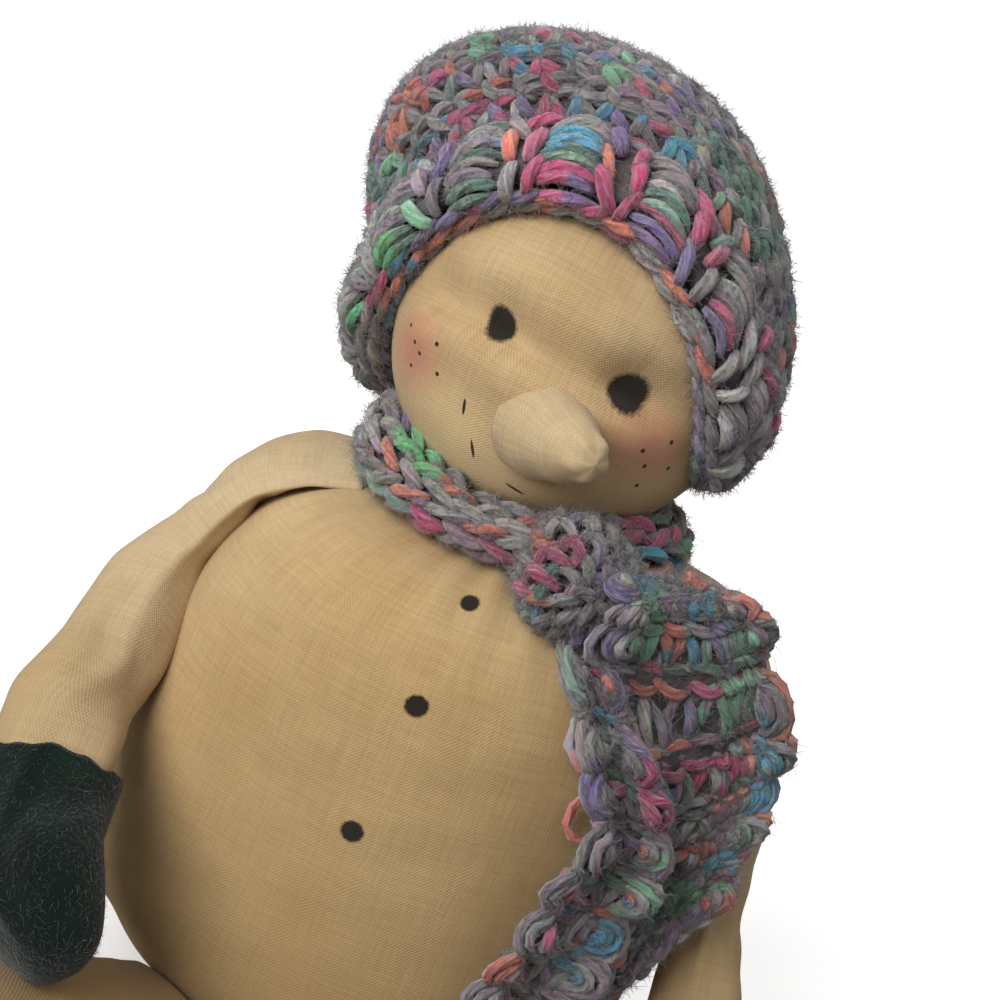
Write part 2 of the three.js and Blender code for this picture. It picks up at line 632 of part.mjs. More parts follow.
add('body_cover', bodyCover, muslin);
add('seat_disc', seatDisc, muslin);
add('body_stuffing', bodyStuffing, fibre);
add('pellet_bag', pelletBag, fibre);
add('head_cover', headCover, muslin);
add('head_stuffing', headStuffing, fibre);
add('nose_cover', noseCover, muslin);
add('nose_stuffing', noseStuffing, fibre);
add('neck_thread', neckThread, thread);
for (const [name, side] of [['right', -1], ['left', 1]]) {
  const { cover, stuffing, mitten, shoulderThread } = arm(side);
  add(`${name}_arm_cover`, cover, muslin);
  add(`${name}_arm_stuffing`, stuffing, fibre);
  add(`${name}_mitten`, mitten, felt);
  add(`${name}_shoulder_thread`, shoulderThread, thread);
  const lower = leg(side);
  add(`${name}_leg_cover`, lower.cover, muslin);
  add(`${name}_leg_stuffing`, lower.stuffing, fibre);
  add(`${name}_hip_thread`, lower.hipThread, thread);
}
add('hat_crown', hatCrown, crochet);
add('hat_cuff', hatCuff, crochet);
add('scarf_wrap', scarfWrap, crochet);
add('scarf_knot', scarfKnot, crochet);
add('scarf_tail_front', tail(frontTailFace), crochet);
add('scarf_tail_side', tail(sideTailFace), crochet);

export default doll;
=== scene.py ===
# %% [markdown]
# # A seated cloth snowman, dressed over its solid model
#
# The doll is tea-stained muslin over soft filling, with felt mittens and a hat and scarf crocheted from a
# bulky grey yarn dyed in short stretches of pink, coral, green, turquoise and purple. The solid model gives
# every piece its place. This lesson replaces the plain solids by cloth, felt and yarn, piece by piece.
# Sizes are in millimetres until a mesh is written, because a doll maker measures that way.

# %% The frame
import json
import math

import bmesh
import bpy
import numpy as np
from mathutils import Matrix, Vector

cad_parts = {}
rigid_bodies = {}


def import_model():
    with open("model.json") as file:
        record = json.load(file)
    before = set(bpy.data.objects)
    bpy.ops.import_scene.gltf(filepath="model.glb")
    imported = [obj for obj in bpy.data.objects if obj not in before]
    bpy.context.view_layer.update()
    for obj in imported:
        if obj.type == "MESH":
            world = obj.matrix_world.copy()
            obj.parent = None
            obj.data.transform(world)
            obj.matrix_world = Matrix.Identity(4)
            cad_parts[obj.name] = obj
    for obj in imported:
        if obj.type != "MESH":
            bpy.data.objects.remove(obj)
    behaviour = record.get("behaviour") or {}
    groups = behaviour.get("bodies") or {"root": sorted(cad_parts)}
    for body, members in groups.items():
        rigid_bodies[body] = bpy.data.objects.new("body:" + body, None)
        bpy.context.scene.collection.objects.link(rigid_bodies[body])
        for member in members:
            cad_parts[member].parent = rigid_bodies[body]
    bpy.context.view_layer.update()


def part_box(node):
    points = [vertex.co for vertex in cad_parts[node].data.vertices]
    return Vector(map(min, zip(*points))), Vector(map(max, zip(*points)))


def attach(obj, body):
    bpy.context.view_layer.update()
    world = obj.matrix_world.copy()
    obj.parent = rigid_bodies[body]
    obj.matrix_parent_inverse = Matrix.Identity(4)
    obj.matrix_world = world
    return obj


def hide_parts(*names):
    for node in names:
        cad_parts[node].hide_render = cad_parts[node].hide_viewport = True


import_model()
MM = 0.001


def node_box(name):
    """The lowest and highest corners of a solid, in millimetres."""
    low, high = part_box(name)
    return np.array(low) / MM, np.array(high) / MM


# %% [markdown]
# ## The camera
#
# The photograph was taken from the front and a little above, with the camera turned on its axis, so the doll
# leans to the right in the picture. A camera is a place, a direction and a turn. Written as three unit
# vectors, it also tells where any point of the doll lands in the picture, and that is used later to paint
# the eyes, freckles and buttons where they belong.

# %% Camera
PICTURE = 1000
NECK = np.array([0, 0, 92.0])
NECK_PIXEL = np.array([525, 505])
MM_PER_PIXEL = 0.165
DISTANCE = 430
ELEVATION = math.radians(15)
ROLL = math.radians(21)
SENSOR = 36

ahead = np.array([0, math.cos(ELEVATION), -math.sin(ELEVATION)])
level_right = np.array([1.0, 0, 0])
level_up = np.array([0, math.sin(ELEVATION), math.cos(ELEVATION)])
eye_right = math.cos(ROLL) * level_right + math.sin(ROLL) * level_up
eye_up = math.cos(ROLL) * level_up - math.sin(ROLL) * level_right
off_centre = (PICTURE / 2 - NECK_PIXEL) * MM_PER_PIXEL
eye_place = NECK + off_centre[0] * eye_right - off_centre[1] * eye_up - DISTANCE * ahead


def to_pixels(points):
    """Where points land in the picture: their offsets across and down, divided by their distance ahead."""
    away = points - eye_place
    scale = DISTANCE / MM_PER_PIXEL / (away @ ahead)
    return np.stack([PICTURE / 2 + scale * (away @ eye_right), PICTURE / 2 - scale * (away @ eye_up)], -1)


camera = bpy.data.objects.new("camera", bpy.data.cameras.new("camera"))
bpy.context.scene.collection.objects.link(camera)
turn = Matrix(np.stack([eye_right, eye_up, -ahead], 1).tolist()).to_4x4()
camera.matrix_world = Matrix.Translation(Vector(eye_place * MM)) @ turn
camera.data.sensor_width = SENSOR
camera.data.lens = SENSOR * DISTANCE / (PICTURE * MM_PER_PIXEL)
camera.data.clip_start = 0.01
bpy.context.scene.camera = camera
print(f"camera: {camera.data.lens:.0f} mm lens, {DISTANCE} mm away")

# %% [markdown]
# ## Surfaces from arrays
#
# Every piece here is a function of two parameters on a grid, or a tube carried along a path. The helpers turn
# such arrays into closed meshes: a grid whose columns wrap round is closed by a fan at each end, and a strand
# of yarn is a tube whose every second corner stands out a little and turns along the path, as plies do.
# Sculpting by hand would do as well, but here each size stays a number that can be changed, and the script
# gives the same mesh every time.

# %% Helpers for shapes
TAU = 2 * math.pi
WAVES = 9
PATTERN_STEP = 7.31
PATTERN_RUN = 400


def unit(vectors):
    """Vectors divided by their own lengths."""
    return vectors / np.maximum(np.linalg.norm(vectors, axis=-1, keepdims=True), 1e-9)


def direction(azimuth, elevation=0.0):
    """The unit vector at an angle round from the front to the doll's left, and up, in degrees."""
    a, e = np.radians(azimuth), np.radians(elevation)
    return np.stack([np.cos(e) * np.sin(a), -np.cos(e) * np.cos(a), np.sin(e) + 0 * a], -1)


def smooth(low, high, value):
    """0 below low, 1 above high, and an S-curve between."""
    share = np.clip((value - low) / (high - low), 0, 1)
    return share * share * (3 - 2 * share)


def along(stops, share):
    """A value read along [share, value] stops."""
    return np.interp(share, *np.transpose(stops))


def spline(stops, share):
    """Points on a smooth curve through the stops, each stretch a cubic set by its four nearest stops."""
    stops = np.asarray(stops, float)
    run = np.vstack([2 * stops[0] - stops[1], stops, 2 * stops[-1] - stops[-2]])
    place = np.clip(share, 0, 1) * (len(stops) - 1)
    i = np.minimum(place.astype(int), len(stops) - 2)
    f = (place - i)[..., None]
    a, b, c, d = (run[i + k] for k in range(4))
    return 0.5 * (2 * b + (c - a) * f + (2 * a - 5 * b + 4 * c - d) * f**2 + (3 * b - a - 3 * c + d) * f**3)


def bezier(a, b, c, d, steps):
    """Points on a cubic curve from a to d, pulled towards b and c."""
    t = np.linspace(0, 1, steps)[:, None]
    return (1 - t)**3 * np.array(a) + 3 * t * (1 - t)**2 * np.array(b) \
        + 3 * t * t * (1 - t) * np.array(c) + t**3 * np.array(d)


def run_of(line):
    """The distance along a line at each of its points."""
    return np.concatenate([[0], np.cumsum(np.linalg.norm(np.diff(line, axis=0), axis=1))])


def ripple(points, wavelength, seed):
    """A slow noise of about -1 to 1: the mean of sine waves in seeded random directions through space, with
    lengths round the wavelength, made larger because waves that don't agree nearly cancel."""
    draw = np.random.default_rng(seed)
    waves = unit(draw.normal(size=(WAVES, 3))) * draw.uniform(0.6, 1.7, (WAVES, 1)) * TAU / wavelength
    return np.sin(points @ waves.T + draw.uniform(0, TAU, WAVES)).mean(-1) * 1.8


def ripples(points, *waves):
    """A sum of slow noises, each with its height and wavelength in millimetres and its seed."""
    return sum(height * ripple(points, wavelength, seed) for height, wavelength, seed in waves)


def grid_corners(rows, columns):
    """The corners of a grid's quads, row after row, for columns that wrap round; the second array counts
    one column more, so that a map can run on past the seam."""
    i, j = np.mgrid[0:rows - 1, 0:columns]
    k = (j + 1) % columns
    mesh = np.stack([i * columns + j, i * columns + k, (i + 1) * columns + k, (i + 1) * columns + j], -1)
    wide = columns + 1
    unrolled = np.stack([i * wide + j, i * wide + j + 1, (i + 1) * wide + j + 1, (i + 1) * wide + j], -1)
    return mesh.reshape(-1, 4), unrolled.reshape(-1, 4)


def piece(name, points, faces, corner_uv, material, body, colours=None):
    """A mesh piece in its place that rides on a body: points in millimetres, a map per face corner."""
    mesh = bpy.data.meshes.new(name)
    mesh.from_pydata((points * MM).tolist(), [], faces)
    mesh.uv_layers.new(name="cloth").data.foreach_set("uv", np.asarray(corner_uv, np.float32).ravel())
    if colours is not None:
        paint = mesh.attributes.new("dye", "FLOAT_COLOR", "POINT")
        paint.data.foreach_set("color", np.c_[colours, np.ones(len(colours))].astype(np.float32).ravel())
    work = bmesh.new()
    work.from_mesh(mesh)
    bmesh.ops.recalc_face_normals(work, faces=work.faces)
    work.to_mesh(mesh)
    work.free()
    mesh.polygons.foreach_set("use_smooth", np.ones(len(mesh.polygons), bool))
    mesh.materials.append(material)
    made = bpy.data.objects.new(name, mesh)
    bpy.context.scene.collection.objects.link(made)
    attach(made, body)
    return made


def closed_surface(name, grid, uv, material, body):
    """A piece from a grid of points whose columns wrap round, with a fan to the middle of each end ring.
    uv is a grid with one column more than the points."""
    rows, columns = grid.shape[:2]
    quads, unrolled = grid_corners(rows, columns)
    points = np.vstack([grid.reshape(-1, 3), grid[0].mean(0), grid[-1].mean(0)])
    j = np.arange(columns)
    k = (j + 1) % columns
    base = (rows - 1) * columns
    first = np.stack([np.full(columns, rows * columns), k, j], -1)
    last = np.stack([np.full(columns, rows * columns + 1), base + j, base + k], -1)
    flat = uv.reshape(-1, 2)
    fans = [np.stack([np.broadcast_to(ring[:-1].mean(0), (columns, 2)), ring[b], ring[c]], 1)
            for ring, b, c in ((uv[0], j + 1, j), (uv[-1], j, j + 1))]
    corner_uv = np.vstack([flat[unrolled].reshape(-1, 2), fans[0].reshape(-1, 2), fans[1].reshape(-1, 2)])
    faces = quads.tolist() + first.tolist() + last.tolist()
    return piece(name, points, faces, corner_uv, material, body)


def tube_points(paths, radii, out, sides, ply=0.0, twist=0.0):
    """Rings round many paths at once, each across its path. Every second corner stands out by ply, as the
    strands of a yarn do, and the ring turns by twist radians a millimetre along the path."""
    tangent = unit(np.gradient(paths, axis=1))
    across = unit(np.cross(tangent, out))
    outward = np.cross(across, tangent)
    steps = np.linalg.norm(np.diff(paths, axis=1), axis=-1)
    run = np.concatenate([np.zeros((len(paths), 1)), np.cumsum(steps, 1)], 1)
    angle = np.linspace(0, TAU, sides, endpoint=False) + twist * run[..., None]
    size = radii[..., None] * (1 + ply * np.where(np.arange(sides) % 2, -1, 1))
    ring = np.cos(angle)[..., None] * across[:, :, None] + np.sin(angle)[..., None] * outward[:, :, None]
    return paths[:, :, None] + size[..., None] * ring, run


def tubes(name, paths, radii, out, sides, material, body, colours, ply=0.0, twist=0.0):
    """A piece of many separate tubes, each closed by flat ends. colours has one colour a ring. Each tube's map
    starts a step further on than the last one's, so that their patterns differ."""
    points, run = tube_points(paths, radii, out, sides, ply, twist)
    count, rings = paths.shape[:2]
    run = run + (PATTERN_STEP * np.arange(count) % PATTERN_RUN)[:, None]
    quads, unrolled = grid_corners(rings, sides)
    starts = np.arange(count)[:, None, None] * rings * sides
    ends = np.array([np.arange(sides), (rings - 1) * sides + np.arange(sides)[::-1]])
    around = np.broadcast_to(np.linspace(0, 1, sides + 1), (count, rings, sides + 1))
    uv = np.stack([np.broadcast_to(run[..., None], around.shape), around], -1).reshape(count, -1, 2)
    cap = np.stack([np.repeat(run[:, [0, -1]], sides, 1), np.zeros((count, 2 * sides))], -1)
    corner_uv = np.vstack([uv[:, unrolled].reshape(-1, 2), cap.reshape(-1, 2)])
    faces = (quads + starts).reshape(-1, 4).tolist() + (ends + starts).reshape(-1, sides).tolist()
    dye = np.repeat(colours.reshape(-1, 3), sides, 0)
    return piece(name, points.reshape(-1, 3), faces, corner_uv, material, body, dye)


# %% [markdown]
# ## Materials
#
# A finish starts from what the real one is. Colours are written as they look on a screen, and one function
# turns them into the linear values that a renderer adds and multiplies. One small function adds a node. A Mix
# node's inputs 0, 6 and 7 are the share of the second colour and the two colours, and its output 2 is the mix.

# %% Helpers for materials
def linear(code):
    """A screen colour such as #C9A877 as three linear values."""
    parts = np.array([int(code[i:i + 2], 16) for i in (1, 3, 5)]) / 255
    return np.where(parts <= 0.04045, parts / 12.92, ((parts + 0.055) / 1.055)**2.4)


def rgba(code):
    """A screen colour as the four values a socket takes, fully opaque."""
    return (*linear(code), 1.0)


def set_inputs(tree, node, values):
    """Fills a node's inputs with values, or links the outputs of other nodes to them. values is a dictionary
    by name or number, or a list in the node's own order. For a Map Range node that is the value, the low and
    high ends of the range it comes from, and those of the range it goes to."""
    for key, value in values.items() if isinstance(values, dict) else enumerate(values):
        if isinstance(value, bpy.types.NodeSocket):
            tree.links.new(value, node.inputs[key])
        else:
            node.inputs[key].default_value = value


def add_node(tree, kind, inputs=(), output=0, **settings):
    """Adds a node, sets its properties, fills or links its inputs, and returns one output."""
    node = tree.nodes.new("ShaderNode" + kind)
    for key, value in settings.items():
        setattr(node, key, value)
    set_inputs(tree, node, inputs)
    return node.outputs[output]


def new_material(name):
    """An empty material, its node tree and its shader."""
    material = bpy.data.materials.new(name)
    material.use_nodes = True
    tree = material.node_tree
    return material, tree, tree.nodes["Principled BSDF"]


# %% [markdown]
# ### Tea-stained muslin
#
# Muslin is a plain weave: each thread goes over one and under one, so the face is a chequer of small humps.
# Two sine waves multiplied give that chequer; its hollows darken the colour a little as painted shade. The
# threads are 0.6 mm apart here, a little coarse, so that they show as they do in the photograph. Spun cotton is
# uneven, so long thin noise along each thread direction makes slubs, slow noise makes the blotches that tea
# leaves, and small flecks are bits of the plant. Towards the seat the colour darkens as painted shade. Paint
# marks are ellipses on the cloth's map, as are soft rouge and pale patches of painted light. Cotton is matt, with
# a faint sheen.
# A picture of cloth would be quicker, but it has one size and repeats itself. A weave that is worked out from
# the distance of its threads stays sharp near the lens.

# %% Muslin
THREADS_APART = 0.6
SWAY = 1.4
SWAY_LENGTH = 25 / 3
SLUB_LENGTH, SLUB_WIDTH = 10, 10 / 17
FRAY_LENGTH = 0.625
BUMP_HEIGHT = 0.25
PAINT_EDGE, BLUSH_AND_PAINTED_LIGHT_EDGE = 0.14, 0.62
BLUSH_AND_PAINTED_LIGHT_STRENGTH = 0.5
BLOTCH = 500 / 19
FLECK = 50 / 21
SEAT_SHADE_TOP = 78
BLACK_PAINT = "#0A0909"
SEAT_SHADE = "#A08052"
BARK_FLECKS = "#6B5230"


def paint_mask(tree, uv, centre, half, angle, edge, fray):
    """1 inside an ellipse on the cloth's map and 0 outside, with an edge that wavers from thread to thread."""
    place = {"Vector": uv, "Location": (*centre, 0), "Rotation": (0, 0, angle), "Scale": (*half, 1)}
    local = add_node(tree, "Mapping", place, vector_type="TEXTURE")
    reach = add_node(tree, "VectorMath", [local], 1, operation="LENGTH")
    frayed = add_node(tree, "Math", [reach, fray], operation="ADD")
    return add_node(tree, "MapRange", [frayed, 1 + edge, 1 - edge])


def muslin(name, tone, shade, marks=(), blush_and_painted_light=()):
    """Tea-stained plain-weave cotton: matt, with fine humps, slubs and stains. The last two arguments are lists
    of (centre, half sizes, angle) on the cloth's map, in millimetres; in the last each entry has its own colour
    too: rouge, and a pale one that is painted light."""
    material, tree, shader = new_material(name)
    uv = add_node(tree, "UVMap", uv_map="cloth")
    where = add_node(tree, "TexCoord", output=3)
    sway = add_node(tree, "TexNoise", {"Vector": uv, "Scale": 1 / SWAY_LENGTH, "Detail": 1.0}, 1)
    bent = add_node(tree, "VectorMath", [sway, (SWAY, SWAY, 0), uv], operation="MULTIPLY_ADD")
    waves, slubs = [], []
    slub = (1 / SLUB_LENGTH, 1 / SLUB_WIDTH)
    for axis, stretch in enumerate(((*slub, 0), (*slub[::-1], 0))):
        place = add_node(tree, "SeparateXYZ", [bent], axis)
        phase = add_node(tree, "Math", [place, TAU / THREADS_APART], operation="MULTIPLY")
        waves.append(add_node(tree, "Math", [phase], operation="SINE"))
        drawn = add_node(tree, "VectorMath", [bent, stretch], operation="MULTIPLY")
        slubs.append(add_node(tree, "TexNoise", {"Vector": drawn, "Scale": 1.0, "Detail": 3.0}))
    chequer = add_node(tree, "Math", [waves[0], waves[1]], operation="MULTIPLY")
    thread = add_node(tree, "Math", [slubs[0], slubs[1]], operation="ADD")
    height = add_node(tree, "Math", [thread, 2.4, chequer], operation="MULTIPLY_ADD")
    blotch = add_node(tree, "TexNoise", {"Vector": where, "Scale": 1 / (BLOTCH * MM), "Detail": 4.0})
    stain = add_node(tree, "MapRange", [blotch, 0.3, 0.72])
    colour = add_node(tree, "Mix", {0: stain, 6: rgba(shade), 7: rgba(tone)}, 2, data_type="RGBA")
    # Thread slubs give the cloth's own tone, and the chequer's hollows add painted shade.
    grain_and_weave_shade = add_node(tree, "MapRange", [height, 1.0, 3.8, 0.76, 1.22])
    grain_and_weave_shade = add_node(tree, "CombineColor", [grain_and_weave_shade, grain_and_weave_shade, grain_and_weave_shade])
    colour = add_node(tree, "Mix", {0: 1.0, 6: colour, 7: grain_and_weave_shade}, 2, data_type="RGBA", blend_type="MULTIPLY")
    # The colour darkens towards the seat: painted shade.
    above_seat = add_node(tree, "SeparateXYZ", [where], 2)
    seat_shade = add_node(tree, "MapRange", [above_seat, 0, SEAT_SHADE_TOP * MM, 0.82, 0.0])
    colour = add_node(tree, "Mix", {0: seat_shade, 6: colour, 7: rgba(SEAT_SHADE)}, 2, data_type="RGBA")
    flecks = add_node(tree, "TexNoise", {"Vector": where, "Scale": 1 / (FLECK * MM)})
    specks = add_node(tree, "MapRange", [flecks, 0.76, 0.82, 0, 0.4])
    colour = add_node(tree, "Mix", {0: specks, 6: colour, 7: rgba(BARK_FLECKS)}, 2, data_type="RGBA")
    waver = add_node(tree, "TexNoise", {"Vector": uv, "Scale": 1 / FRAY_LENGTH, "Detail": 3.0})
    fray = add_node(tree, "MapRange", [waver, 0.2, 0.8, -0.1, 0.1])
    # Soft marks: rouge on the cheeks, and pale patches that are painted light.
    for centre, half, angle, dye in blush_and_painted_light:
        soft = paint_mask(tree, uv, centre, half, angle, BLUSH_AND_PAINTED_LIGHT_EDGE, fray)
        faint = add_node(tree, "Math", [soft, BLUSH_AND_PAINTED_LIGHT_STRENGTH], operation="MULTIPLY")
        colour = add_node(tree, "Mix", {0: faint, 6: colour, 7: rgba(dye)}, 2, data_type="RGBA")
    worn = add_node(tree, "MapRange", [chequer, -1.0, 1, 0.94])
    covered = 0.0
    for centre, half, angle in marks:
        mask = paint_mask(tree, uv, centre, half, angle, PAINT_EDGE, fray)
        covered = add_node(tree, "Math", [covered, mask], operation="MAXIMUM")
    paint = add_node(tree, "Math", [covered, worn], operation="MULTIPLY")
    colour = add_node(tree, "Mix", {0: paint, 6: colour, 7: rgba(BLACK_PAINT)}, 2, data_type="RGBA")
    bump = add_node(tree, "Bump", {"Height": height, "Strength": 0.25, "Distance": BUMP_HEIGHT * MM})
    set_inputs(tree, shader, {
        "Base Color": colour, "Normal": bump, "Roughness": 0.92, "Specular IOR Level": 0.2,
        "Sheen Weight": 0.12, "Sheen Roughness": 0.6})
    return material


# %% [markdown]
# ### Heather yarn and wool felt
#
# The yarn is a soft spun acrylic: thin fibres lie along each strand, some paler and some of another hue, so
# noise is drawn out along the strand. Light goes a millimetre deep into it, which softens its shadows. The dye
# is a colour on every ring of the strand. Felt is matted wool: no threads, only cloudy clumps and short loose
# hairs, which are modelled as fine tubes. Neither shines. Clumps of 0.7 mm are as fine as shows here. Millions
# of hairs would be nearer to real yarn, but too heavy to carry to other tools, so noise stands for most of them.

# %% Yarn and felt
PLIES = 4
YARN_BUMP = 0.3
YARN_DEPTH = 1.2
FELT_BUMP = 0.6
CLUMP = 2 / 3
FELT_CLOUD = 50 / 7
SILVER_FIBRE = "#B4B0AC"
PALE_WOOL = "#2E4C3D"


def heather_yarn(name):
    """Spun acrylic: soft plies twisted round the strand, with painted shade between them, and silvery loose
    fibres. The dye comes from the piece's own colours; the map gives millimetres along the strand and turns round
    it."""
    material, tree, shader = new_material(name)
    uv = add_node(tree, "UVMap", uv_map="cloth")
    where = add_node(tree, "TexCoord", output=3)
    dye = add_node(tree, "Attribute", attribute_name="dye")
    turns = add_node(tree, "SeparateXYZ", [uv], 1)
    phase = add_node(tree, "Math", [turns, TAU * PLIES], operation="MULTIPLY")
    plies = add_node(tree, "Math", [phase], operation="COSINE")
    long_way, thin_way, hue_way = (add_node(tree, "VectorMath", [uv, stretch], operation="MULTIPLY")
                                   for stretch in ((0.12, PLIES, 0), (0.5, 24.0, 0), (0.3, 9.0, 0)))
    tones = add_node(tree, "TexNoise", {"Vector": long_way, "Scale": 1.0, "Detail": 0.0})
    fibres = add_node(tree, "TexNoise", {"Vector": thin_way, "Scale": 1.0})
    hues = add_node(tree, "TexNoise", {"Vector": hue_way, "Scale": 1.0}, 1)
    clumps = add_node(tree, "TexNoise", {"Vector": where, "Scale": 1 / (CLUMP * MM), "Detail": 3.0})
    # Darker between the plies and lighter on their tops: painted shade.
    shade = add_node(tree, "MapRange", [plies, -1.0, 0.6, 0.9, 1.03])
    tint = add_node(tree, "MapRange", [tones, 0.3, 0.7, 0.82, 1.16])
    depth = add_node(tree, "Math", [shade, tint], operation="MULTIPLY")
    depth = add_node(tree, "CombineColor", [depth, depth, depth])
    colour = add_node(tree, "Mix", {0: 1.0, 6: dye, 7: depth}, 2, data_type="RGBA", blend_type="MULTIPLY")
    colour = add_node(tree, "Mix", {0: 0.55, 6: colour, 7: hues}, 2, data_type="RGBA", blend_type="OVERLAY")
    silver = add_node(tree, "MapRange", [fibres, 0.48, 0.68, 0, 0.5])
    colour = add_node(tree, "Mix", {0: silver, 6: colour, 7: rgba(SILVER_FIBRE)}, 2, data_type="RGBA")
    fluff = add_node(tree, "Math", [fibres, clumps], operation="ADD")
    height = add_node(tree, "Math", [plies, fluff], operation="ADD")
    bump = add_node(tree, "Bump", {"Height": height, "Strength": 0.6, "Distance": YARN_BUMP * MM})
    set_inputs(tree, shader, {
        "Base Color": colour, "Normal": bump, "Roughness": 0.95, "Specular IOR Level": 0.1,
        "Subsurface Weight": 0.6, "Subsurface Radius": (1, 1, 1), "Subsurface Scale": YARN_DEPTH * MM,
        "Sheen Weight": 0.4, "Sheen Roughness": 0.4})
    return material


def wool_felt(name, deep, light):
    """Matted wool: cloudy, with clumps in its surface and a soft sheen, and no threads."""
    material, tree, shader = new_material(name)
    where = add_node(tree, "TexCoord", output=3)
    clouds = add_node(tree, "TexNoise", {"Vector": where, "Scale": 1 / (FELT_CLOUD * MM), "Detail": 5.0})
    clumps = add_node(tree, "TexNoise", {"Vector": where, "Scale": 1 / (CLUMP * MM), "Detail": 4.0})
    cloudy = add_node(tree, "MapRange", [clouds, 0.3, 0.75])
    colour = add_node(tree, "Mix", {0: cloudy, 6: rgba(deep), 7: rgba(light)}, 2, data_type="RGBA")
    matted = add_node(tree, "MapRange", [clumps, 0.64, 0.8, 0, 0.35])
    colour = add_node(tree, "Mix", {0: matted, 6: colour, 7: rgba(PALE_WOOL)}, 2, data_type="RGBA")
    bump = add_node(tree, "Bump", {"Height": clumps, "Strength": 0.7, "Distance": FELT_BUMP * MM})
    set_inputs(tree, shader, {
        "Base Color": colour, "Normal": bump, "Roughness": 1.0, "Specular IOR Level": 0.1,
        "Sheen Weight": 0.25, "Sheen Roughness": 0.5})
    return material


yarn = heather_yarn("heather_yarn")
felt = wool_felt("green_wool_felt", "#07120D", "#0D2219")
plain_muslin = muslin("muslin_limbs", "#D2BA94", "#C1A67B")
# The legs' muslin is darker than the rest: painted shade.
leg_muslin_painted_shade = muslin("muslin_legs_painted_shade", "#B1966B", "#9C8057")
print("finishes:", *(m.name for m in (yarn, felt, plain_muslin, leg_muslin_painted_shade)))

# %% [markdown]
# ## The body
#
# The body is a sewn bag turned about its upright axis: flat where it sits, widest at the belly, broad at
# the shoulders, and a little wider from side to side than from front to back. Filling makes it swell
# unevenly, so slow ripples move its skin, it bulges under the right arm, gives way above the left leg, and the
# cloth gathers in small pleats towards the neck. Cloth blown up in a simulation would wrinkle by itself, but it
# would not keep to the solid's size as closely as a turned outline does.

# %% Body
_, body_high = node_box("body_cover")
SEAT_RADIUS = 34
NECK_RADIUS = 15
BELLY_HEIGHT = 54
body_radius = body_high[0]
body_height = body_high[2]
body_squash = body_high[1] / body_high[0]
BODY_COLUMNS, BODY_ROWS = 168, 170
PLEATS = 26
PLEAT_DEPTH = 0.5
SEAM_DEPTH = 0.7
SEAM_HALF = 0.9
# Each bulge: how far it stands out, its angle and spread in radians, its height and spread in millimetres.
BULGES = [(5.4, -1.3, 0.45, 36, 21), (2.6, -1.3, 0.5, 14, 9), (-1.3, 0.66, 0.3, 8, 8)]

seat = np.stack([np.linspace(1, SEAT_RADIUS, 8), np.zeros(8)], -1)
hip = bezier((SEAT_RADIUS, 0), (47, 0), (body_radius, 14), (body_radius, BELLY_HEIGHT), 60)
shoulder = bezier((body_radius, BELLY_HEIGHT), (body_radius, 77), (39, body_height - 3),
                  (NECK_RADIUS, body_height), 60)
top = np.stack([np.linspace(NECK_RADIUS, 1, 5), np.full(5, body_height)], -1)
outline = np.vstack([seat, hip[1:], shoulder[1:], top[1:]])
outline_run = run_of(outline)


def body_girth(height):
    """The body's half width at a height above the seat."""
    wall = np.vstack([hip, shoulder[1:]])
    return np.interp(height, wall[:, 1], wall[:, 0])


def body_surface(angle, run):
    """A point of the body: the outline turned by an angle from the front, with ripples and neck pleats."""
    radius = np.interp(run, outline_run, outline[:, 0])
    height = np.interp(run, outline_run, outline[:, 1])
    points = np.stack([radius * np.sin(angle), -body_squash * radius * np.cos(angle), height], -1)
    outward = unit(np.stack([np.sin(angle), -np.cos(angle), (height - BELLY_HEIGHT) / 60], -1))
    pleats = PLEAT_DEPTH * np.cos(PLEATS * angle + 2 * np.sin(3 * angle))
    pleats = pleats * smooth(72, 89, height) * smooth(10, 20, radius)
    side_seam = -SEAM_DEPTH * np.exp(-(radius * (np.abs(angle) - TAU / 4) / SEAM_HALF)**2)
    swell = ripples(points, (0.45, 46, 3), (0.22, 17, 4))
    bulge = sum(rise * np.exp(-((angle - turn) / wide)**2 - ((height - at) / tall)**2)
                for rise, turn, wide, at, tall in BULGES)
    lifted = smooth(1, 12, height)
    return points + outward * ((pleats + side_seam + swell + bulge) * lifted)[..., None]


angle = np.linspace(-math.pi, math.pi, BODY_COLUMNS + 1)
run = np.linspace(0, outline_run[-1], BODY_ROWS)
body_grid = body_surface(*np.meshgrid(angle, run))
body_uv = np.stack(np.meshgrid(angle * body_radius, run), -1)


def map_under(pixel, points, uv, facing):
    """The place on a cloth's map that shows at a pixel: the mean of the four nearest points, by closeness."""
    flat, seen = points.reshape(-1, 3), facing.ravel()
    gap = np.linalg.norm(to_pixels(flat) - pixel, axis=1) + np.where(seen, 0, 1e6)
    near = np.argsort(gap)[:4]
    weight = 1 / (gap[near] + 0.3)
    return tuple((uv.reshape(-1, 2)[near] * weight[:, None]).sum(0) / weight.sum())


BUTTON_PIXELS = [(470, 604), (417, 708), (351, 831)]
BUTTON_HALF = (1.95, 1.75)
BUTTON_TURN = 0.3
body_front = body_grid[..., 1] < 0
buttons = [(map_under(p, body_grid, body_uv, body_front), BUTTON_HALF, BUTTON_TURN) for p in BUTTON_PIXELS]
body_cloth = muslin("muslin_body", "#CDAF80", "#BB9A68", buttons)
body = closed_surface("body", body_grid[:, :-1], body_uv, body_cloth, "doll")
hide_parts("body_cover", "body_stuffing", "pellet_bag", "seat_disc")
print("body:", len(body.data.polygons), "faces")

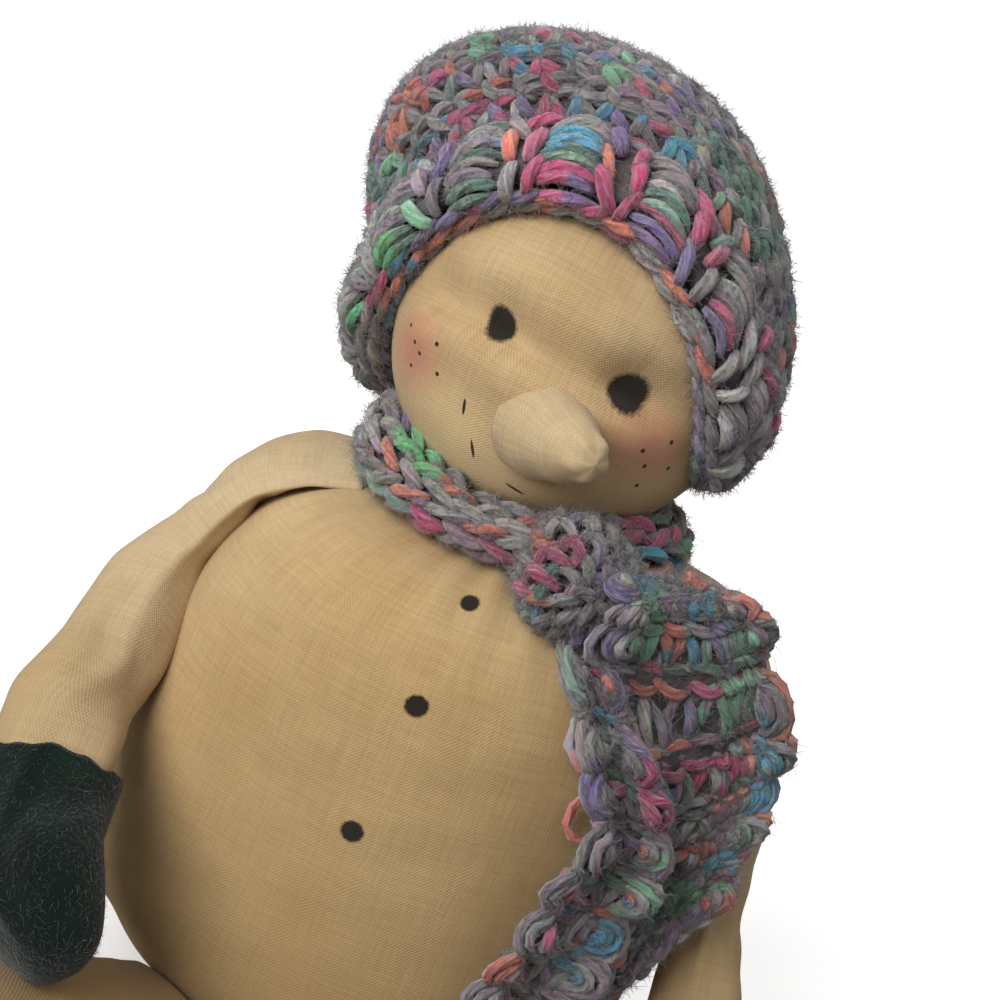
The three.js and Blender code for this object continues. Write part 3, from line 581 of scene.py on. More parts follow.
# %% [markdown]
# ## The head and its face
#
# The head is a ball of the same cloth. A long needle pulls the cloth in at the eyes, so the face has two
# dents, a soft crease under the brow and a little bridge. Its map is laid flat from the front, so
# the weave runs straight across the face, and the painted marks are placed where they show in the picture.
# The dents could be sculpted, but as bell-shaped curves round two points they stay with the eyes.

# %% Head
head_low, head_high = node_box("head_cover")
HEAD_RADIUS = (head_high[0] - head_low[0]) / 2
head_centre = np.array([(head_high[0] + head_low[0]) / 2, 0, head_high[2] - HEAD_RADIUS])
FACE_LEAN = math.radians(7)
face_right = math.cos(FACE_LEAN) * level_right - math.sin(FACE_LEAN) * level_up
face_up = math.cos(FACE_LEAN) * level_up + math.sin(FACE_LEAN) * level_right
EYE_PIXELS = [(501, 324), (629, 393)]


def ball_under(pixel, centre, radius):
    """The direction from a ball's centre to its point under a pixel: the near crossing of the sight line."""
    x, y = (np.array(pixel) - PICTURE / 2) * MM_PER_PIXEL
    sight = unit(DISTANCE * ahead + x * eye_right - y * eye_up)
    from_eye = centre - eye_place
    nearest = from_eye @ sight
    depth = nearest - math.sqrt(radius**2 - (from_eye @ from_eye - nearest**2))
    return unit(eye_place + depth * sight - centre)


eyes = [ball_under(p, head_centre, HEAD_RADIUS) for p in EYE_PIXELS]
bridge = unit(eyes[0] + eyes[1])
DENT = 1.4
DENT_WIDTH = 4.6
CREASE = 2.7
CREASE_SAG = 1.8
CREASE_ABOVE, CREASE_BELOW = 5.0, 2.6
CREASE_PAST_RIGHT, CREASE_PAST_LEFT = 9, 3
BROW, BROW_ABOVE, BROW_SPREAD = 0.8, 9, 5
CHEEK, CHEEK_BELOW, CHEEK_SPREAD = 0.9, 6, 4
EYE_SPREAD = 12


def head_surface(toward):
    """A point of the head in a direction: a ball drawn in at the eyes, and along a crease that sags between
    them. The crease falls slowly from the brow, rises fast to the cheeks and ends a little past the eyes."""
    from_eyes = [HEAD_RADIUS * np.arccos(np.clip(toward @ eye, -1, 1)) for eye in eyes]
    dents = sum(DENT * np.exp(-(gap / DENT_WIDTH)**2) for gap in from_eyes)
    sideways = HEAD_RADIUS * (toward @ face_right - bridge @ face_right)
    above = HEAD_RADIUS * (toward @ face_up - bridge @ face_up)
    above = above + CREASE_SAG * np.clip(1 - (sideways / EYE_SPREAD)**2, 0, 1)
    ends = EYE_SPREAD + np.where(sideways < 0, CREASE_PAST_RIGHT, CREASE_PAST_LEFT)
    facing = smooth(0.2, 0.6, -(toward @ ahead)) * (1 - smooth(ends, ends + 8, np.abs(sideways)))
    crease = CREASE * np.exp(-(above / np.where(above > 0, CREASE_ABOVE, CREASE_BELOW))**2) * facing
    brow = BROW * np.exp(-((above - BROW_ABOVE) / BROW_SPREAD)**2) * facing
    cheek = CHEEK * np.exp(-((above + CHEEK_BELOW) / CHEEK_SPREAD)**2) * facing
    points = HEAD_RADIUS * toward
    skin = ripples(points, (0.3, 30, 11), (0.12, 9, 12))
    return head_centre + toward * (HEAD_RADIUS - dents - crease + brow + cheek + skin)[..., None]


def front_map(toward):
    """The head laid flat from the front: each point as far from the middle as it is over the ball."""
    flat = np.stack([toward @ face_right, toward @ face_up], -1)
    bend = np.arccos(np.clip(-(toward @ ahead), -1, 1))
    spread = np.maximum(np.linalg.norm(flat, axis=-1, keepdims=True), 1e-6)
    return flat / spread * (HEAD_RADIUS * bend)[..., None]


HEAD_COLUMNS, HEAD_ROWS = 200, 130
round_head = np.linspace(-180, 180, HEAD_COLUMNS + 1)
up_head = np.linspace(-89, 89, HEAD_ROWS)
toward = direction(*np.meshgrid(round_head, up_head))
head_grid = head_surface(toward)
head_uv = front_map(toward)
head_front = toward @ ahead < -0.1


def face_marks(spots):
    """(pixel, half sizes in millimetres, angle, more) as marks on the head's map."""
    return [(map_under(pixel, head_grid, head_uv, head_front), *rest) for pixel, *rest in spots]


def mark_over(pixel, half, points, uv, facing):
    """An ellipse of the picture as a mark on the map: the linear map that fits the points under it turns
    its two half axes into those of the mark."""
    offset = to_pixels(points.reshape(-1, 3)) - pixel
    near = facing.ravel() & (np.linalg.norm(offset, axis=1) < 1.3 * max(half))
    fit = np.linalg.lstsq(np.c_[offset[near], np.ones(near.sum())], uv.reshape(-1, 2)[near], rcond=None)[0]
    turned, sizes, _ = np.linalg.svd(fit[:2].T * half)
    return tuple(fit[2]), tuple(sizes), math.atan2(turned[1, 0], turned[0, 0])


EYE_HALVES = [(15, 18.5), (21.5, 20.5)]
LEFT_FRECKLES = [(411, 325), (394, 337), (415, 342), (437, 345), (420, 353), (411, 365), (437, 374)]
RIGHT_FRECKLES = [(672, 443), (643, 451), (644, 466), (668, 468), (637, 485)]
FRECKLE = (0.42, 0.42)
MOUTH = [((464, 406), (0.3, 1.5), 0.25), ((472, 449), (0.3, 1.9), 0.45), ((515, 489), (1.9, 0.3), -0.12)]
spots = MOUTH + [(pixel, FRECKLE, 0.0) for pixel in LEFT_FRECKLES + RIGHT_FRECKLES]
painted = [mark_over(p, half, head_grid, head_uv, head_front) for p, half in zip(EYE_PIXELS, EYE_HALVES)]
painted += face_marks(spots)
ROUGE = "#CC6A60"
# Below: pale patches of painted light on the lower face, and rouge on the cheeks.
PAINTED_LIGHT = "#FFE0A8"
cheeks = [((470, 455), (13.0, 8.0), -0.5, PAINTED_LIGHT), ((620, 480), (12.0, 7.0), 0.3, PAINTED_LIGHT),
          ((412, 350), (6.5, 6.0), 0.0, ROUGE), ((650, 452), (7.5, 5.5), 0.3, ROUGE)]
face_cloth = muslin("muslin_face", "#CFB286", "#BF9F70", painted, face_marks(cheeks))
head = closed_surface("head", head_grid[:, :-1], head_uv, face_cloth, "doll")
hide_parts("head_cover", "head_stuffing")
print("head:", len(head.data.polygons), "faces")

# %% [markdown]
# ## The nose
#
# The nose is a small cone of muslin, gathered over a wad of filling. Its tip is folded shut in a few pleats,
# so the section turns from a circle at the root into a soft five-pointed star at the tip. One formula for the
# radius does it, because the pleats then fade out towards the root by themselves.

# %% Nose
NOSE_RADIUS = 7.1
NOSE_FLARE = 0.5
NOSE_TIP_RADIUS = 2.6
NOSE_LENGTH = 14.6
NOSE_ROOT = -5
NOSE_PLEATS = 5
NOSE_PLEAT_DEPTH = 0.11
NOSE_LUMPS = 0.22
# Degrees round from the front and up: where it is sewn on, and where it points.
NOSE_PLACE, NOSE_POINTS = (3.0, -14.0), (32.0, 4.0)
nose_base = head_centre + HEAD_RADIUS * direction(*NOSE_PLACE)
nose_axis = direction(*NOSE_POINTS)
nose_across = unit(np.cross(nose_axis, [0, 0, 1]))
nose_over = np.cross(nose_across, nose_axis)
share, turn = np.meshgrid(np.linspace(0, 1, 60), np.linspace(0, TAU, 73), indexing="ij")
reach = NOSE_ROOT + (NOSE_LENGTH - NOSE_ROOT) * share**0.9
body_share = np.clip(reach / NOSE_LENGTH, 0, 1)
cone = NOSE_RADIUS + (NOSE_TIP_RADIUS - NOSE_RADIUS) * body_share**1.25
rounded = np.sqrt(np.maximum(0, 1 - smooth(0.86, 1.0, body_share)**2 * 0.985))
pleated = 1 + NOSE_PLEAT_DEPTH * smooth(0.6, 1, body_share) * np.cos(NOSE_PLEATS * turn + 2.2 * body_share)
radius = cone * rounded * pleated + NOSE_FLARE * np.exp(-np.maximum(reach, 0) / 1.2)
aside, over = radius * np.cos(turn), radius * np.sin(turn)
nose_grid = (nose_base + reach[..., None] * nose_axis
             + aside[..., None] * nose_across + over[..., None] * nose_over)
nose_grid += NOSE_LUMPS * nose_over * ripple(nose_grid, 7, 21)[..., None]
nose_uv = np.stack([turn * NOSE_RADIUS * 0.8, reach], -1)
nose = closed_surface("nose", nose_grid[:, :-1], nose_uv, plain_muslin, "doll")
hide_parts("nose_cover", "nose_stuffing")
print("nose:", len(nose.data.polygons), "faces")

# %% [markdown]
# ## Arms, mittens and legs
#
# All limbs are flat tubes of cloth that end in a round tip. A limb is a line through a few stops, with two
# lists of half sizes along it. Each ring is a flattened round across that line. A line with lists is easier
# to fit to a photograph than a sculpted mesh, and the arm, the mitten and the leg can share it.

# %% Limb shapes
LIMB_COLUMNS = 72
TIP_POWER = 2.6


def limb_rings(line, side, thickness, width, dome, shares, growth=0.0):
    """Rings of a limb, with the directions out of it: flattened rounds with two half sizes at each share of
    its line. Past dome the ring shrinks as a full round tip does."""
    step = 1e-3
    centre = spline(line, shares)
    tangent = unit(spline(line, shares + step) - spline(line, shares - step))
    across = unit(side - (tangent @ side)[:, None] * tangent)
    out = np.cross(tangent, across)
    tip = np.clip((shares - dome) / (1 - dome), 0, 1)
    shrink = np.maximum(1 - tip**TIP_POWER, 0)**(1 / TIP_POWER)
    angle = np.linspace(0, TAU, LIMB_COLUMNS + 1)
    wide = (shrink * (along(width, shares) + growth))[:, None] * np.cos(angle)
    thick = (shrink * (along(thickness, shares) + growth))[:, None] * np.sin(angle)
    middle = centre + (tip * growth)[:, None] * tangent
    rings = middle[:, None] + wide[..., None] * across[:, None] + thick[..., None] * out[:, None]
    outward = unit(np.cos(angle)[:, None] * across[:, None] + np.sin(angle)[:, None] * out[:, None])
    return rings, outward, angle


def front_edge(angle, spread):
    """1 along a limb's front edge, and falling off round it within a spread in radians."""
    return np.exp(-((angle - math.pi) / spread)**2)


def bunched(first, rows):
    """Shares of a limb's line, closer together towards its tip."""
    return 1 - (1 - first) * (1 - np.linspace(0, 1, rows))**1.3


# %% [markdown]
# ### Arms
#
# An arm is muslin with little filling. It is sewn flat on the shoulder, folds over it and hangs beside the
# belly, and its hand is full. A seam is rolled along its front edge. The two arms have lines of their own,
# because the right hand lies on the leg and the left one on the floor.

# %% Arms
SHOULDER_HEIGHT = 85.7
ARM_ROOT = 3.6
ARM_FLAT = 7
ARM_FULL = 21
HAND = 12
ARM_TILT = math.radians(15)
ARM_SIDE = np.array([0, math.cos(ARM_TILT), math.sin(ARM_TILT)])
ARM_MAP = 10.0
ARM_THICKNESS = [(0, ARM_ROOT / 2), (0.12, 0.4 * ARM_FLAT), (0.25, 0.56 * ARM_FLAT), (0.375, 0.77 * ARM_FLAT),
                 (0.5, 0.36 * ARM_FULL), (0.65, 0.45 * ARM_FULL), (0.8, ARM_FULL / 2), (1, ARM_FULL / 2)]
ARM_WIDTH = [(0, 0.4 * ARM_FULL), (0.375, 0.44 * ARM_FULL), (0.5, 0.38 * ARM_FULL), (0.65, 0.57 * HAND),
             (0.85, 0.54 * HAND), (1, 0.6 * HAND)]
ARM_DOME = 0.86


def over_shoulder(height, distance):
    """A point over the shoulder: the body's side at a height, moved out along its slope."""
    slope = unit(np.array([body_girth(height) - NECK_RADIUS, height - BELLY_HEIGHT]))
    return [body_girth(height) + slope[0] * distance, 0, height + slope[1] * distance]


ROOT_TUCK = 4
SHOULDER_LINE = [[body_girth(SHOULDER_HEIGHT) + 0.8 - ROOT_TUCK, 0, SHOULDER_HEIGHT + 1.2 + ARM_ROOT / 2],
                 over_shoulder(SHOULDER_HEIGHT - 0.7 * ARM_ROOT, 0.42 * ARM_FLAT),
                 over_shoulder(BELLY_HEIGHT + 0.74 * (SHOULDER_HEIGHT - BELLY_HEIGHT), 0.52 * ARM_FLAT)]
ARM_LINES = {
    "right": SHOULDER_LINE + [[49.8, -1.7, 67], [52.4, -7, 58.9], [54, -19.7, 48.9], [55.8, -31.9, 40.0],
                              [52.4, -47.5, 26], [40.5, -61.5, 16.8]],
    "left": SHOULDER_LINE + [[49.4, 0, 67.5], [51.6, 0, 56.2], [53.4, -4, 40.3], [56, -13.6, 23.6],
                             [56.5, -26, 13.8], [54, -40, 10]]}
EMPTY_ARM = [(0, 1), (0.3, 0.9), (0.4, 0.72), (0.65, 0.6), (0.8, 0.85), (0.9, 1)]
ARM_SEAM, ARM_SEAM_SPREAD = 0.9, 0.22


def arm(side, name):
    """One arm cover: a ring every millimetre or so, with a fold under the shoulder and a seam along its front.
    The left arm is nearly empty."""
    line = np.array(ARM_LINES[name]) * (side, 1, 1)
    shares = bunched(0, 120)
    thickness = [(at, size * (along(EMPTY_ARM, at) if name == "left" else 1)) for at, size in ARM_THICKNESS]
    rings, outward, angle = limb_rings(line, ARM_SIDE, thickness, ARM_WIDTH, ARM_DOME, shares)
    down = shares[:, None]
    front = front_edge(angle, ARM_SEAM_SPREAD)
    seam = ARM_SEAM * front * smooth(0.03, 0.15, down) * (1 - smooth(0.7, 0.78, down))
    fold = np.exp(-((down - 0.3 - 0.06 * np.cos(angle)) / 0.03)**2) * (1 - front)
    sag = ripples(rings, (0.9, 24, 31 + side), (0.35, 9, 33 + side))
    soft = smooth(0, 0.12, down) * (1 - smooth(0.85, 1, down))
    rings = rings + outward * (seam - fold * soft + sag * soft)[..., None]
    length = run_of(rings.mean(1))[-1]
    uv = np.stack(np.broadcast_arrays(angle * ARM_MAP, down * length), -1)
    cover = closed_surface(f"{name}_arm", rings[:, :-1], uv, plain_muslin, f"{name}_arm")
    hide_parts(f"{name}_arm_cover", f"{name}_arm_stuffing")
    return line


# %% [markdown]
# ### Mittens
#
# Felt doesn't fray, so a mitten is cut out, sewn along its edge and left raw at the cuff. It is the arm's
# shape grown by the felt's thickness. Its surface starts inside the cuff and goes over the wavy edge, so that
# the felt shows its thickness there, which a single skin would not.

# %% Mittens
FELT_GROWTH = 1.8
CUFF_SHARE = 0.8
MITTEN_MAP, MITTEN_ROW = 9.0, 0.6
MITTEN_SEAM, MITTEN_SEAM_SPREAD = 0.8, 0.16


def mitten(line, name):
    """A felt mitten: from inside its cuff, over the raw edge and down to the closed tip."""
    outer_shares = bunched(CUFF_SHARE, 70)
    inner_shares = np.linspace(CUFF_SHARE + 0.06, CUFF_SHARE, 6)
    shape = (ARM_SIDE, ARM_THICKNESS, ARM_WIDTH, ARM_DOME)
    inner, _, angle = limb_rings(line, *shape, inner_shares, 0.2)
    outer, outward, _ = limb_rings(line, *shape, outer_shares, FELT_GROWTH)
    down = outer_shares[:, None]
    ridge = MITTEN_SEAM * front_edge(angle, MITTEN_SEAM_SPREAD) * (1 - smooth(0.93, 1, down))
    dents = 0.5 * ripple(outer, 16, 41) * smooth(CUFF_SHARE, CUFF_SHARE + 0.06, down)
    outer = outer + outward * (ridge + dents)[..., None]
    raw_edge = 0.5 * np.sin(5 * angle) + 0.35 * np.sin(13 * angle + 1)
    lift = unit(line[-3] - line[-1]) * raw_edge[:, None]
    near_edge = (1 - smooth(CUFF_SHARE, CUFF_SHARE + 0.05, outer_shares))[:, None, None]
    outer = outer + near_edge * lift
    rings = np.concatenate([inner, outer])
    uv = np.stack(np.broadcast_arrays(angle * MITTEN_MAP, np.arange(len(rings))[:, None] * MITTEN_ROW), -1)
    cover = closed_surface(f"{name}_mitten_felt", rings[:, :-1], uv, felt, f"{name}_arm")
    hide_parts(f"{name}_mitten")
    return outer, outward


# %% [markdown]
# ### Legs
#
# The legs lie on the floor in front of the seat. Their cloth is darker than the rest, as painted shade. They
# start at the threads that hold them. Ripples fade out towards the floor, so that they rest on it evenly.

# %% Legs
HIP_HEIGHT = 2.7
HIP_TURN = math.radians(38)
LEG_LENGTH = 80
LEG_HALF_WIDTH = 10
LEG_HALF_THICKNESS = 6
LEG_DOME = 0.84
LEG_MAP = 8.0
LEG_SEAM, LEG_SEAM_SPREAD = 0.6, 0.2
HAND_DENT, HAND_SHARE, HAND_SPREAD = 2.6, 0.42, 0.17


def leg(side, name):
    """One leg cover, along the floor from the hip thread, square to the body's outline. The right one is
    dented under the hand that rests on it."""
    low, high = node_box(f"{name}_hip_thread")
    root = (low + high) / 2
    forward = unit(np.array([side * math.sin(HIP_TURN) * body_squash, -math.cos(HIP_TURN), 0]))
    rise = LEG_HALF_THICKNESS + 0.2 - HIP_HEIGHT
    line = np.array([root + (0.8 + out * LEG_LENGTH) * forward + (0, 0, up * rise)
                     for out, up in ((0, 0), (0.12, 0.25), (0.35, 1), (0.7, 1), (1, 1))])
    level = np.array([-forward[1], forward[0], 0])
    thickness = [(0, 1.7), (0.25, 2.7), (0.5, LEG_HALF_THICKNESS), (1, LEG_HALF_THICKNESS)]
    width = [(0, 8.4), (0.5, LEG_HALF_WIDTH), (0.75, 9.6), (1, LEG_HALF_WIDTH)]
    shares = bunched(0, 90)
    rings, outward, angle = limb_rings(line, level, thickness, width, LEG_DOME, shares)
    down = shares[:, None]
    seam = LEG_SEAM * front_edge(angle, LEG_SEAM_SPREAD) * smooth(0.03, 0.15, down)
    sag = ripples(rings, (0.5, 22, 51 + side), (0.2, 8, 53)) * smooth(0, 0.2, down)
    above_floor = smooth(0.4, 2.5, rings[..., 2])
    rings = rings + outward * ((seam + sag) * above_floor)[..., None]
    if side < 0:
        pressed = HAND_DENT * np.exp(-((down - HAND_SHARE) / HAND_SPREAD)**2) * smooth(5, 12, rings[..., 2])
        rings = rings - pressed[..., None] * (0, 0, 1)
    uv = np.stack(np.broadcast_arrays(angle * LEG_MAP, down * LEG_LENGTH), -1)
    cover = closed_surface(f"{name}_leg", rings[:, :-1], uv, leg_muslin_painted_shade, f"{name}_leg")
    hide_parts(f"{name}_leg_cover", f"{name}_leg_stuffing")


mitten_skins = {}
for name, side in (("right", -1), ("left", 1)):
    mitten_skins[name] = mitten(arm(side, name), name)
    leg(side, name)
print("limbs:", *mitten_skins, "arm, mitten and leg")

# %% [markdown]
# ## Crochet
#
# Crochet is one strand pulled through itself in loops. The yarn is dyed in short stretches, so colours come in
# runs. Where a bright stretch shows in the photograph, its place in the picture is named, and the strokes there
# take it. Everywhere else the runs are drawn at random from a fixed seed, mostly grey.

# %% Dyes
GREYS = ["#7E797B", "#8F8A8B", "#A09B9B", "#AFABA9", "#877D86", "#97908F"]
DYES = {"pink": "#BE4A75", "coral": "#DB7863", "mint": "#7FB793", "green": "#7F9F8D", "emerald": "#4F7F6B",
        "turquoise": "#4496B2", "purple": "#776796", "mauve": "#98798F", "bright green": "#66BE78"}
DYED_PLACES = {
    "pink": [(491, 193), (493, 175), (505, 200), (524, 180), (515, 170), (600, 190), (585, 200), (560, 170),
             (568, 190), (622, 198), (463, 128), (650, 169), (694, 199), (708, 223), (545, 72), (480, 103),
             (545, 108), (500, 112), (362, 215), (378, 290), (530, 580), (575, 553), (560, 545), (642, 525),
             (605, 663), (636, 710), (757, 730), (690, 770), (425, 530), (660, 815), (735, 770)],
    "coral": [(548, 210), (635, 228), (685, 295), (708, 372), (420, 95), (400, 130), (513, 155), (610, 148),
              (535, 535), (384, 462), (673, 642), (637, 672), (636, 745), (556, 862), (700, 850), (490, 975),
              (560, 828)],
    "turquoise": [(404, 258), (520, 60), (580, 141), (676, 151), (352, 405), (641, 584), (663, 552),
                  (610, 716), (684, 572), (770, 757), (782, 800), (722, 862), (700, 614), (540, 905),
                  (610, 948), (765, 795)],
    "mint": [(412, 209), (398, 165), (480, 45), (620, 70), (650, 605), (639, 637), (745, 645), (747, 681),
             (731, 703), (735, 900), (690, 895), (665, 910)],
    "bright green": [(386, 250), (440, 462), (420, 445), (688, 540), (725, 100)],
    "emerald": [(745, 205), (765, 240), (735, 175), (380, 185), (720, 145)],
    "purple": [(679, 245), (653, 232), (620, 130), (437, 158), (555, 140), (680, 100), (690, 265), (720, 659),
               (683, 719), (585, 812), (610, 592), (590, 800), (695, 250), (640, 925)]}
SCATTERED = ["mauve", "green", "purple", "pink", "mauve", "coral", "emerald", "turquoise"]
PALE_FIBRE = "#BDB9B6"
DYE_REACH = 14
DYE_COVER, SCATTERED_COVER = 0.85, 0.75
NEW_COLOUR = 0.55
CHANGE = 0.25
print("dyes:", {name: len(places) for name, places in DYED_PLACES.items()})


def dyed(middles, normals, draw, colourful):
    """A colour for each stroke: the named bright stretches where they show, and otherwise seeded runs of
    grey with a share of colourful ones."""
    count = len(middles)
    pick = draw.random(count)
    held = np.maximum.accumulate(np.where(draw.random(count) < NEW_COLOUR, np.arange(count), 0))
    greys = np.array([linear(c) for c in GREYS])
    colours = greys[draw.integers(0, len(greys), count)][held]
    bright = np.array([linear(DYES[n]) for n in SCATTERED])[draw.integers(0, len(SCATTERED), count)][held]
    bright = SCATTERED_COVER * bright + (1 - SCATTERED_COVER) * colours
    colours = np.where((pick[held] < colourful)[:, None], bright, colours)
    seen = ((eye_place - middles) * normals).sum(-1) > 0
    pixels = to_pixels(middles)
    nearest = np.full(count, float(DYE_REACH))
    for name, places in DYED_PLACES.items():
        gap = np.linalg.norm(pixels[:, None] - np.array(places), axis=-1).min(1)
        closer = seen & (gap < nearest)
        covered = DYE_COVER * linear(DYES[name]) + (1 - DYE_COVER) * colours
        colours = np.where(closer[:, None], covered, colours)
        nearest = np.where(closer, gap, nearest)
    return colours


# %% [markdown]
# ### Strokes of yarn
#
# From outside, a stitch shows as a few short fat strokes of yarn: two legs that lean together in a V, and the
# bar of the loop above them. Each stroke is a short tube whose ends dive into the fabric. A stitch is drawn
# once, in its own units, and a surface function carries it to hundreds of places, each a little different.
# The whole strand could be followed as the hook works it, but most of that path is hidden inside the fabric.
# Short fibres stand off the strands as a nap, and longer ones curl.

# %% Strokes
RINGS = 9
SIDES = 2 * PLIES
PLY = 0.04
TWIST = 0.3
FUZZ_SKIN = 0.95
NAP_LENGTH, NAP_RADIUS, NAP_PALE = 2.2, 0.05, 0.42
CURL_LENGTH, CURL_RADIUS, CURL_PALE = 2.4, 0.035, 0.45
run_share = np.linspace(0, 1, RINGS)


def stroke(start, end, bow, height, lift):
    """A short strand between two points in stitch units. Its middle bows aside and rises above its ends by
    a height in millimetres; lift moves it all."""
    start, end = np.array(start, float), np.array(end, float)
    arch = np.sin(math.pi * run_share)
    aside = np.array([-(end[1] - start[1]), end[0] - start[0]])
    flat = start + run_share[:, None] * (end - start) + bow * arch[:, None] * aside
    return np.c_[flat, lift + height * arch]


def horseshoe(reach, opening, height, lift):
    """An arch of yarn round a bobble, open towards the fabric, in millimetres."""
    turn = np.linspace(-opening, opening, RINGS)
    return np.stack([reach * np.sin(turn), reach * np.cos(turn), lift + height * np.cos(0.6 * turn)], -1)


def places_round(count, at, shift, start=-math.pi):
    """Places spread evenly round a surface at one height, shifted by a share of their distance."""
    return np.stack([start + TAU * (np.arange(count) + shift) / count, np.full(count, at)], -1)


def carry(surface, places, pitch, path, draw, radius, loose):
    """A stroke carried to many places of a surface, each a little different. places and pitch are (n, 2)
    surface parameters; the strand thins where it dives into the fabric."""
    count = len(places)
    shaken = path[None, :, :2] + draw.normal(0, loose, (count, 1, 2)) * np.abs(path[:, :2]).max(0) \
        + draw.normal(0, loose, (count, 1, 2)) * (run_share - 0.5)[:, None]
    at = places[:, None] + np.broadcast_to(pitch, places.shape)[:, None] * shaken
    points, normals = surface(at[..., 0], at[..., 1])
    rise = path[None, :, 2] * draw.uniform(0.8, 1.2, (count, 1))
    taper = 0.55 + 0.45 * np.sin(math.pi * run_share)**0.5
    return points + rise[..., None] * normals, radius * draw.uniform(0.82, 1.18, (count, 1)) * taper, normals


def with_normals(shape, step_a, step_b, flip=1):
    """A surface function that also gives normals, from small steps along both parameters."""
    def surface(a, b):
        """Points of the shape, and the unit vectors square to it."""
        across = shape(a + step_a, b) - shape(a - step_a, b)
        upward = shape(a, b + step_b) - shape(a, b - step_b)
        return shape(a, b), flip * unit(np.cross(across, upward))
    return surface


def knit(name, groups, body, seed, colourful, tone=1.0):
    """All the strokes of a crocheted piece as one mesh. A stroke may change colour along its length. tone
    scales all the piece's colours as painted light and shade: above 1 it lightens the piece, below 1 darkens it.
    """
    draw = np.random.default_rng(seed)
    paths, radii, normals = (np.concatenate([g[i] for g in groups]) for i in range(3))
    first = dyed(paths[:, RINGS // 2], normals[:, RINGS // 2], draw, colourful)
    second = np.where(draw.random((len(paths), 1)) < CHANGE, np.roll(first, -1, 0), first)
    switch = draw.uniform(0.4, 0.8, (len(paths), 1))
    colours = np.where((run_share > switch)[..., None], second[:, None], first[:, None])
    colours = tone * colours * draw.uniform(0.84, 1.16, (len(paths), 1, 1))
    made = tubes(name, paths, radii, normals, SIDES, yarn, body, colours, PLY, TWIST)
    print(f"{name}: {len(paths)} strokes, {len(made.data.polygons)} faces")
    return made, paths, normals, colours


def fuzz(name, paths, normals, colours, count, length, radius, pale, rings, body, slot, seed):
    """Loose fibres: each starts on the skin of a stroke, runs along it at a slant and curls off. pale is the
    share of pale fibre in their colour. With two rings a fibre is straight."""
    draw = np.random.default_rng(seed)
    pick = draw.integers(0, len(paths), count)
    ring = draw.integers(1, paths.shape[1] - 1, count)
    strand = unit(np.gradient(paths, axis=1))[pick, ring]
    across = np.cross(strand, normals[pick, ring])
    off = unit(normals[pick, ring] * draw.uniform(0.2, 1.0, (count, 1))
               + across * draw.normal(0, 0.7, (count, 1)))
    start = paths[pick, ring] + FUZZ_SKIN * off
    lean = unit(strand * draw.uniform(-1, 1, (count, 1)) + 0.25 * off * draw.random((count, 1))
                + draw.normal(0, 0.3, (count, 3)))
    curl = unit(draw.normal(size=(count, 3)) - 0.3 * off)
    size = length * draw.uniform(0.4, 1.0, (count, 1, 1))
    t = np.linspace(0, 1, rings)[None, :, None]
    lines = start[:, None] + size * (t * lean[:, None] + 0.45 * t * t * curl[:, None])
    radii = radius * (1 - 0.5 * np.broadcast_to(t[..., 0], (count, rings)))
    shade = np.repeat((1 - pale) * colours[pick, ring][:, None] + pale * linear(PALE_FIBRE), rings, 1)
    out = np.broadcast_to(curl[:, None] + 0.01, lines.shape)
    tubes(name, lines, radii, out, 3, yarn, body, shade)


def fluffy(name, strands, body, nap, curls, seed):
    """The fuzz of a crocheted piece: a nap of short straight fibres close to the yarn, in pieces of a size
    that stays light, and fewer long curled ones."""
    for k, count in enumerate(nap):
        fuzz(f"{name}_nap_{k}", *strands, count, NAP_LENGTH, NAP_RADIUS, NAP_PALE, 2, body, "yarn", seed + k)
    fuzz(f"{name}_fuzz", *strands, curls, CURL_LENGTH, CURL_RADIUS, CURL_PALE, 3, body, "yarn", seed + 9)


# %% [markdown]
# ## The hat
#
# The hat is soft. It sits tilted back on the head, its top slouches to one side, and its cuff is drawn down
# over one ear. All of that is one function, which takes a point of a plain upright hat to its place, so the
# fabric and every stitch on it are bent alike. Under the stitches lies a darker ground: painted shade for the
# depth of the fabric.

# %% Hat shape
HAT_TILT = math.radians(48)
HAT_LEAN = math.radians(-2)
HAT_HEIGHT = 48
HAT_SLOUCH = 9
CROWN_RADIUS = 37
CROCHET = 3.5
RIM_DEPTH = 0.3
RIM_LEAN = -1
RIM_SADDLE = 6.7
RIM_TURN = math.radians(-21)
RIM_NAPE = 7
RIM_EAR = 8
EAR_TUCK = 6
CUFF_DEPTH = 12
SUNK = 0.9
HAT_COLUMNS = 144
GROUND_CLUMP, GROUND_FIBRE, GROUND_BUMP = 50 / 13, 10 / 11, 0.8
# The ground's colours are darker than the yarn's greys: painted shade between the stitches.
GROUND_DEEP, GROUND_LIGHT = "#4C4648", "#6E6868"
hat_inside = HEAD_RADIUS + 0.5
hat_outside = hat_inside + CROCHET
cuff_inside = hat_outside + 0.3
cuff_outside = cuff_inside + CROCHET
crown_bulge = CUFF_DEPTH + 0.35 * (HAT_HEIGHT - CUFF_DEPTH)
cuff_top = CUFF_DEPTH - RIM_DEPTH


def turned(a, b, angle):
    """Two coordinates turned by an angle, the second towards the first."""
    return a * math.cos(angle) + b * math.sin(angle), b * math.cos(angle) - a * math.sin(angle)


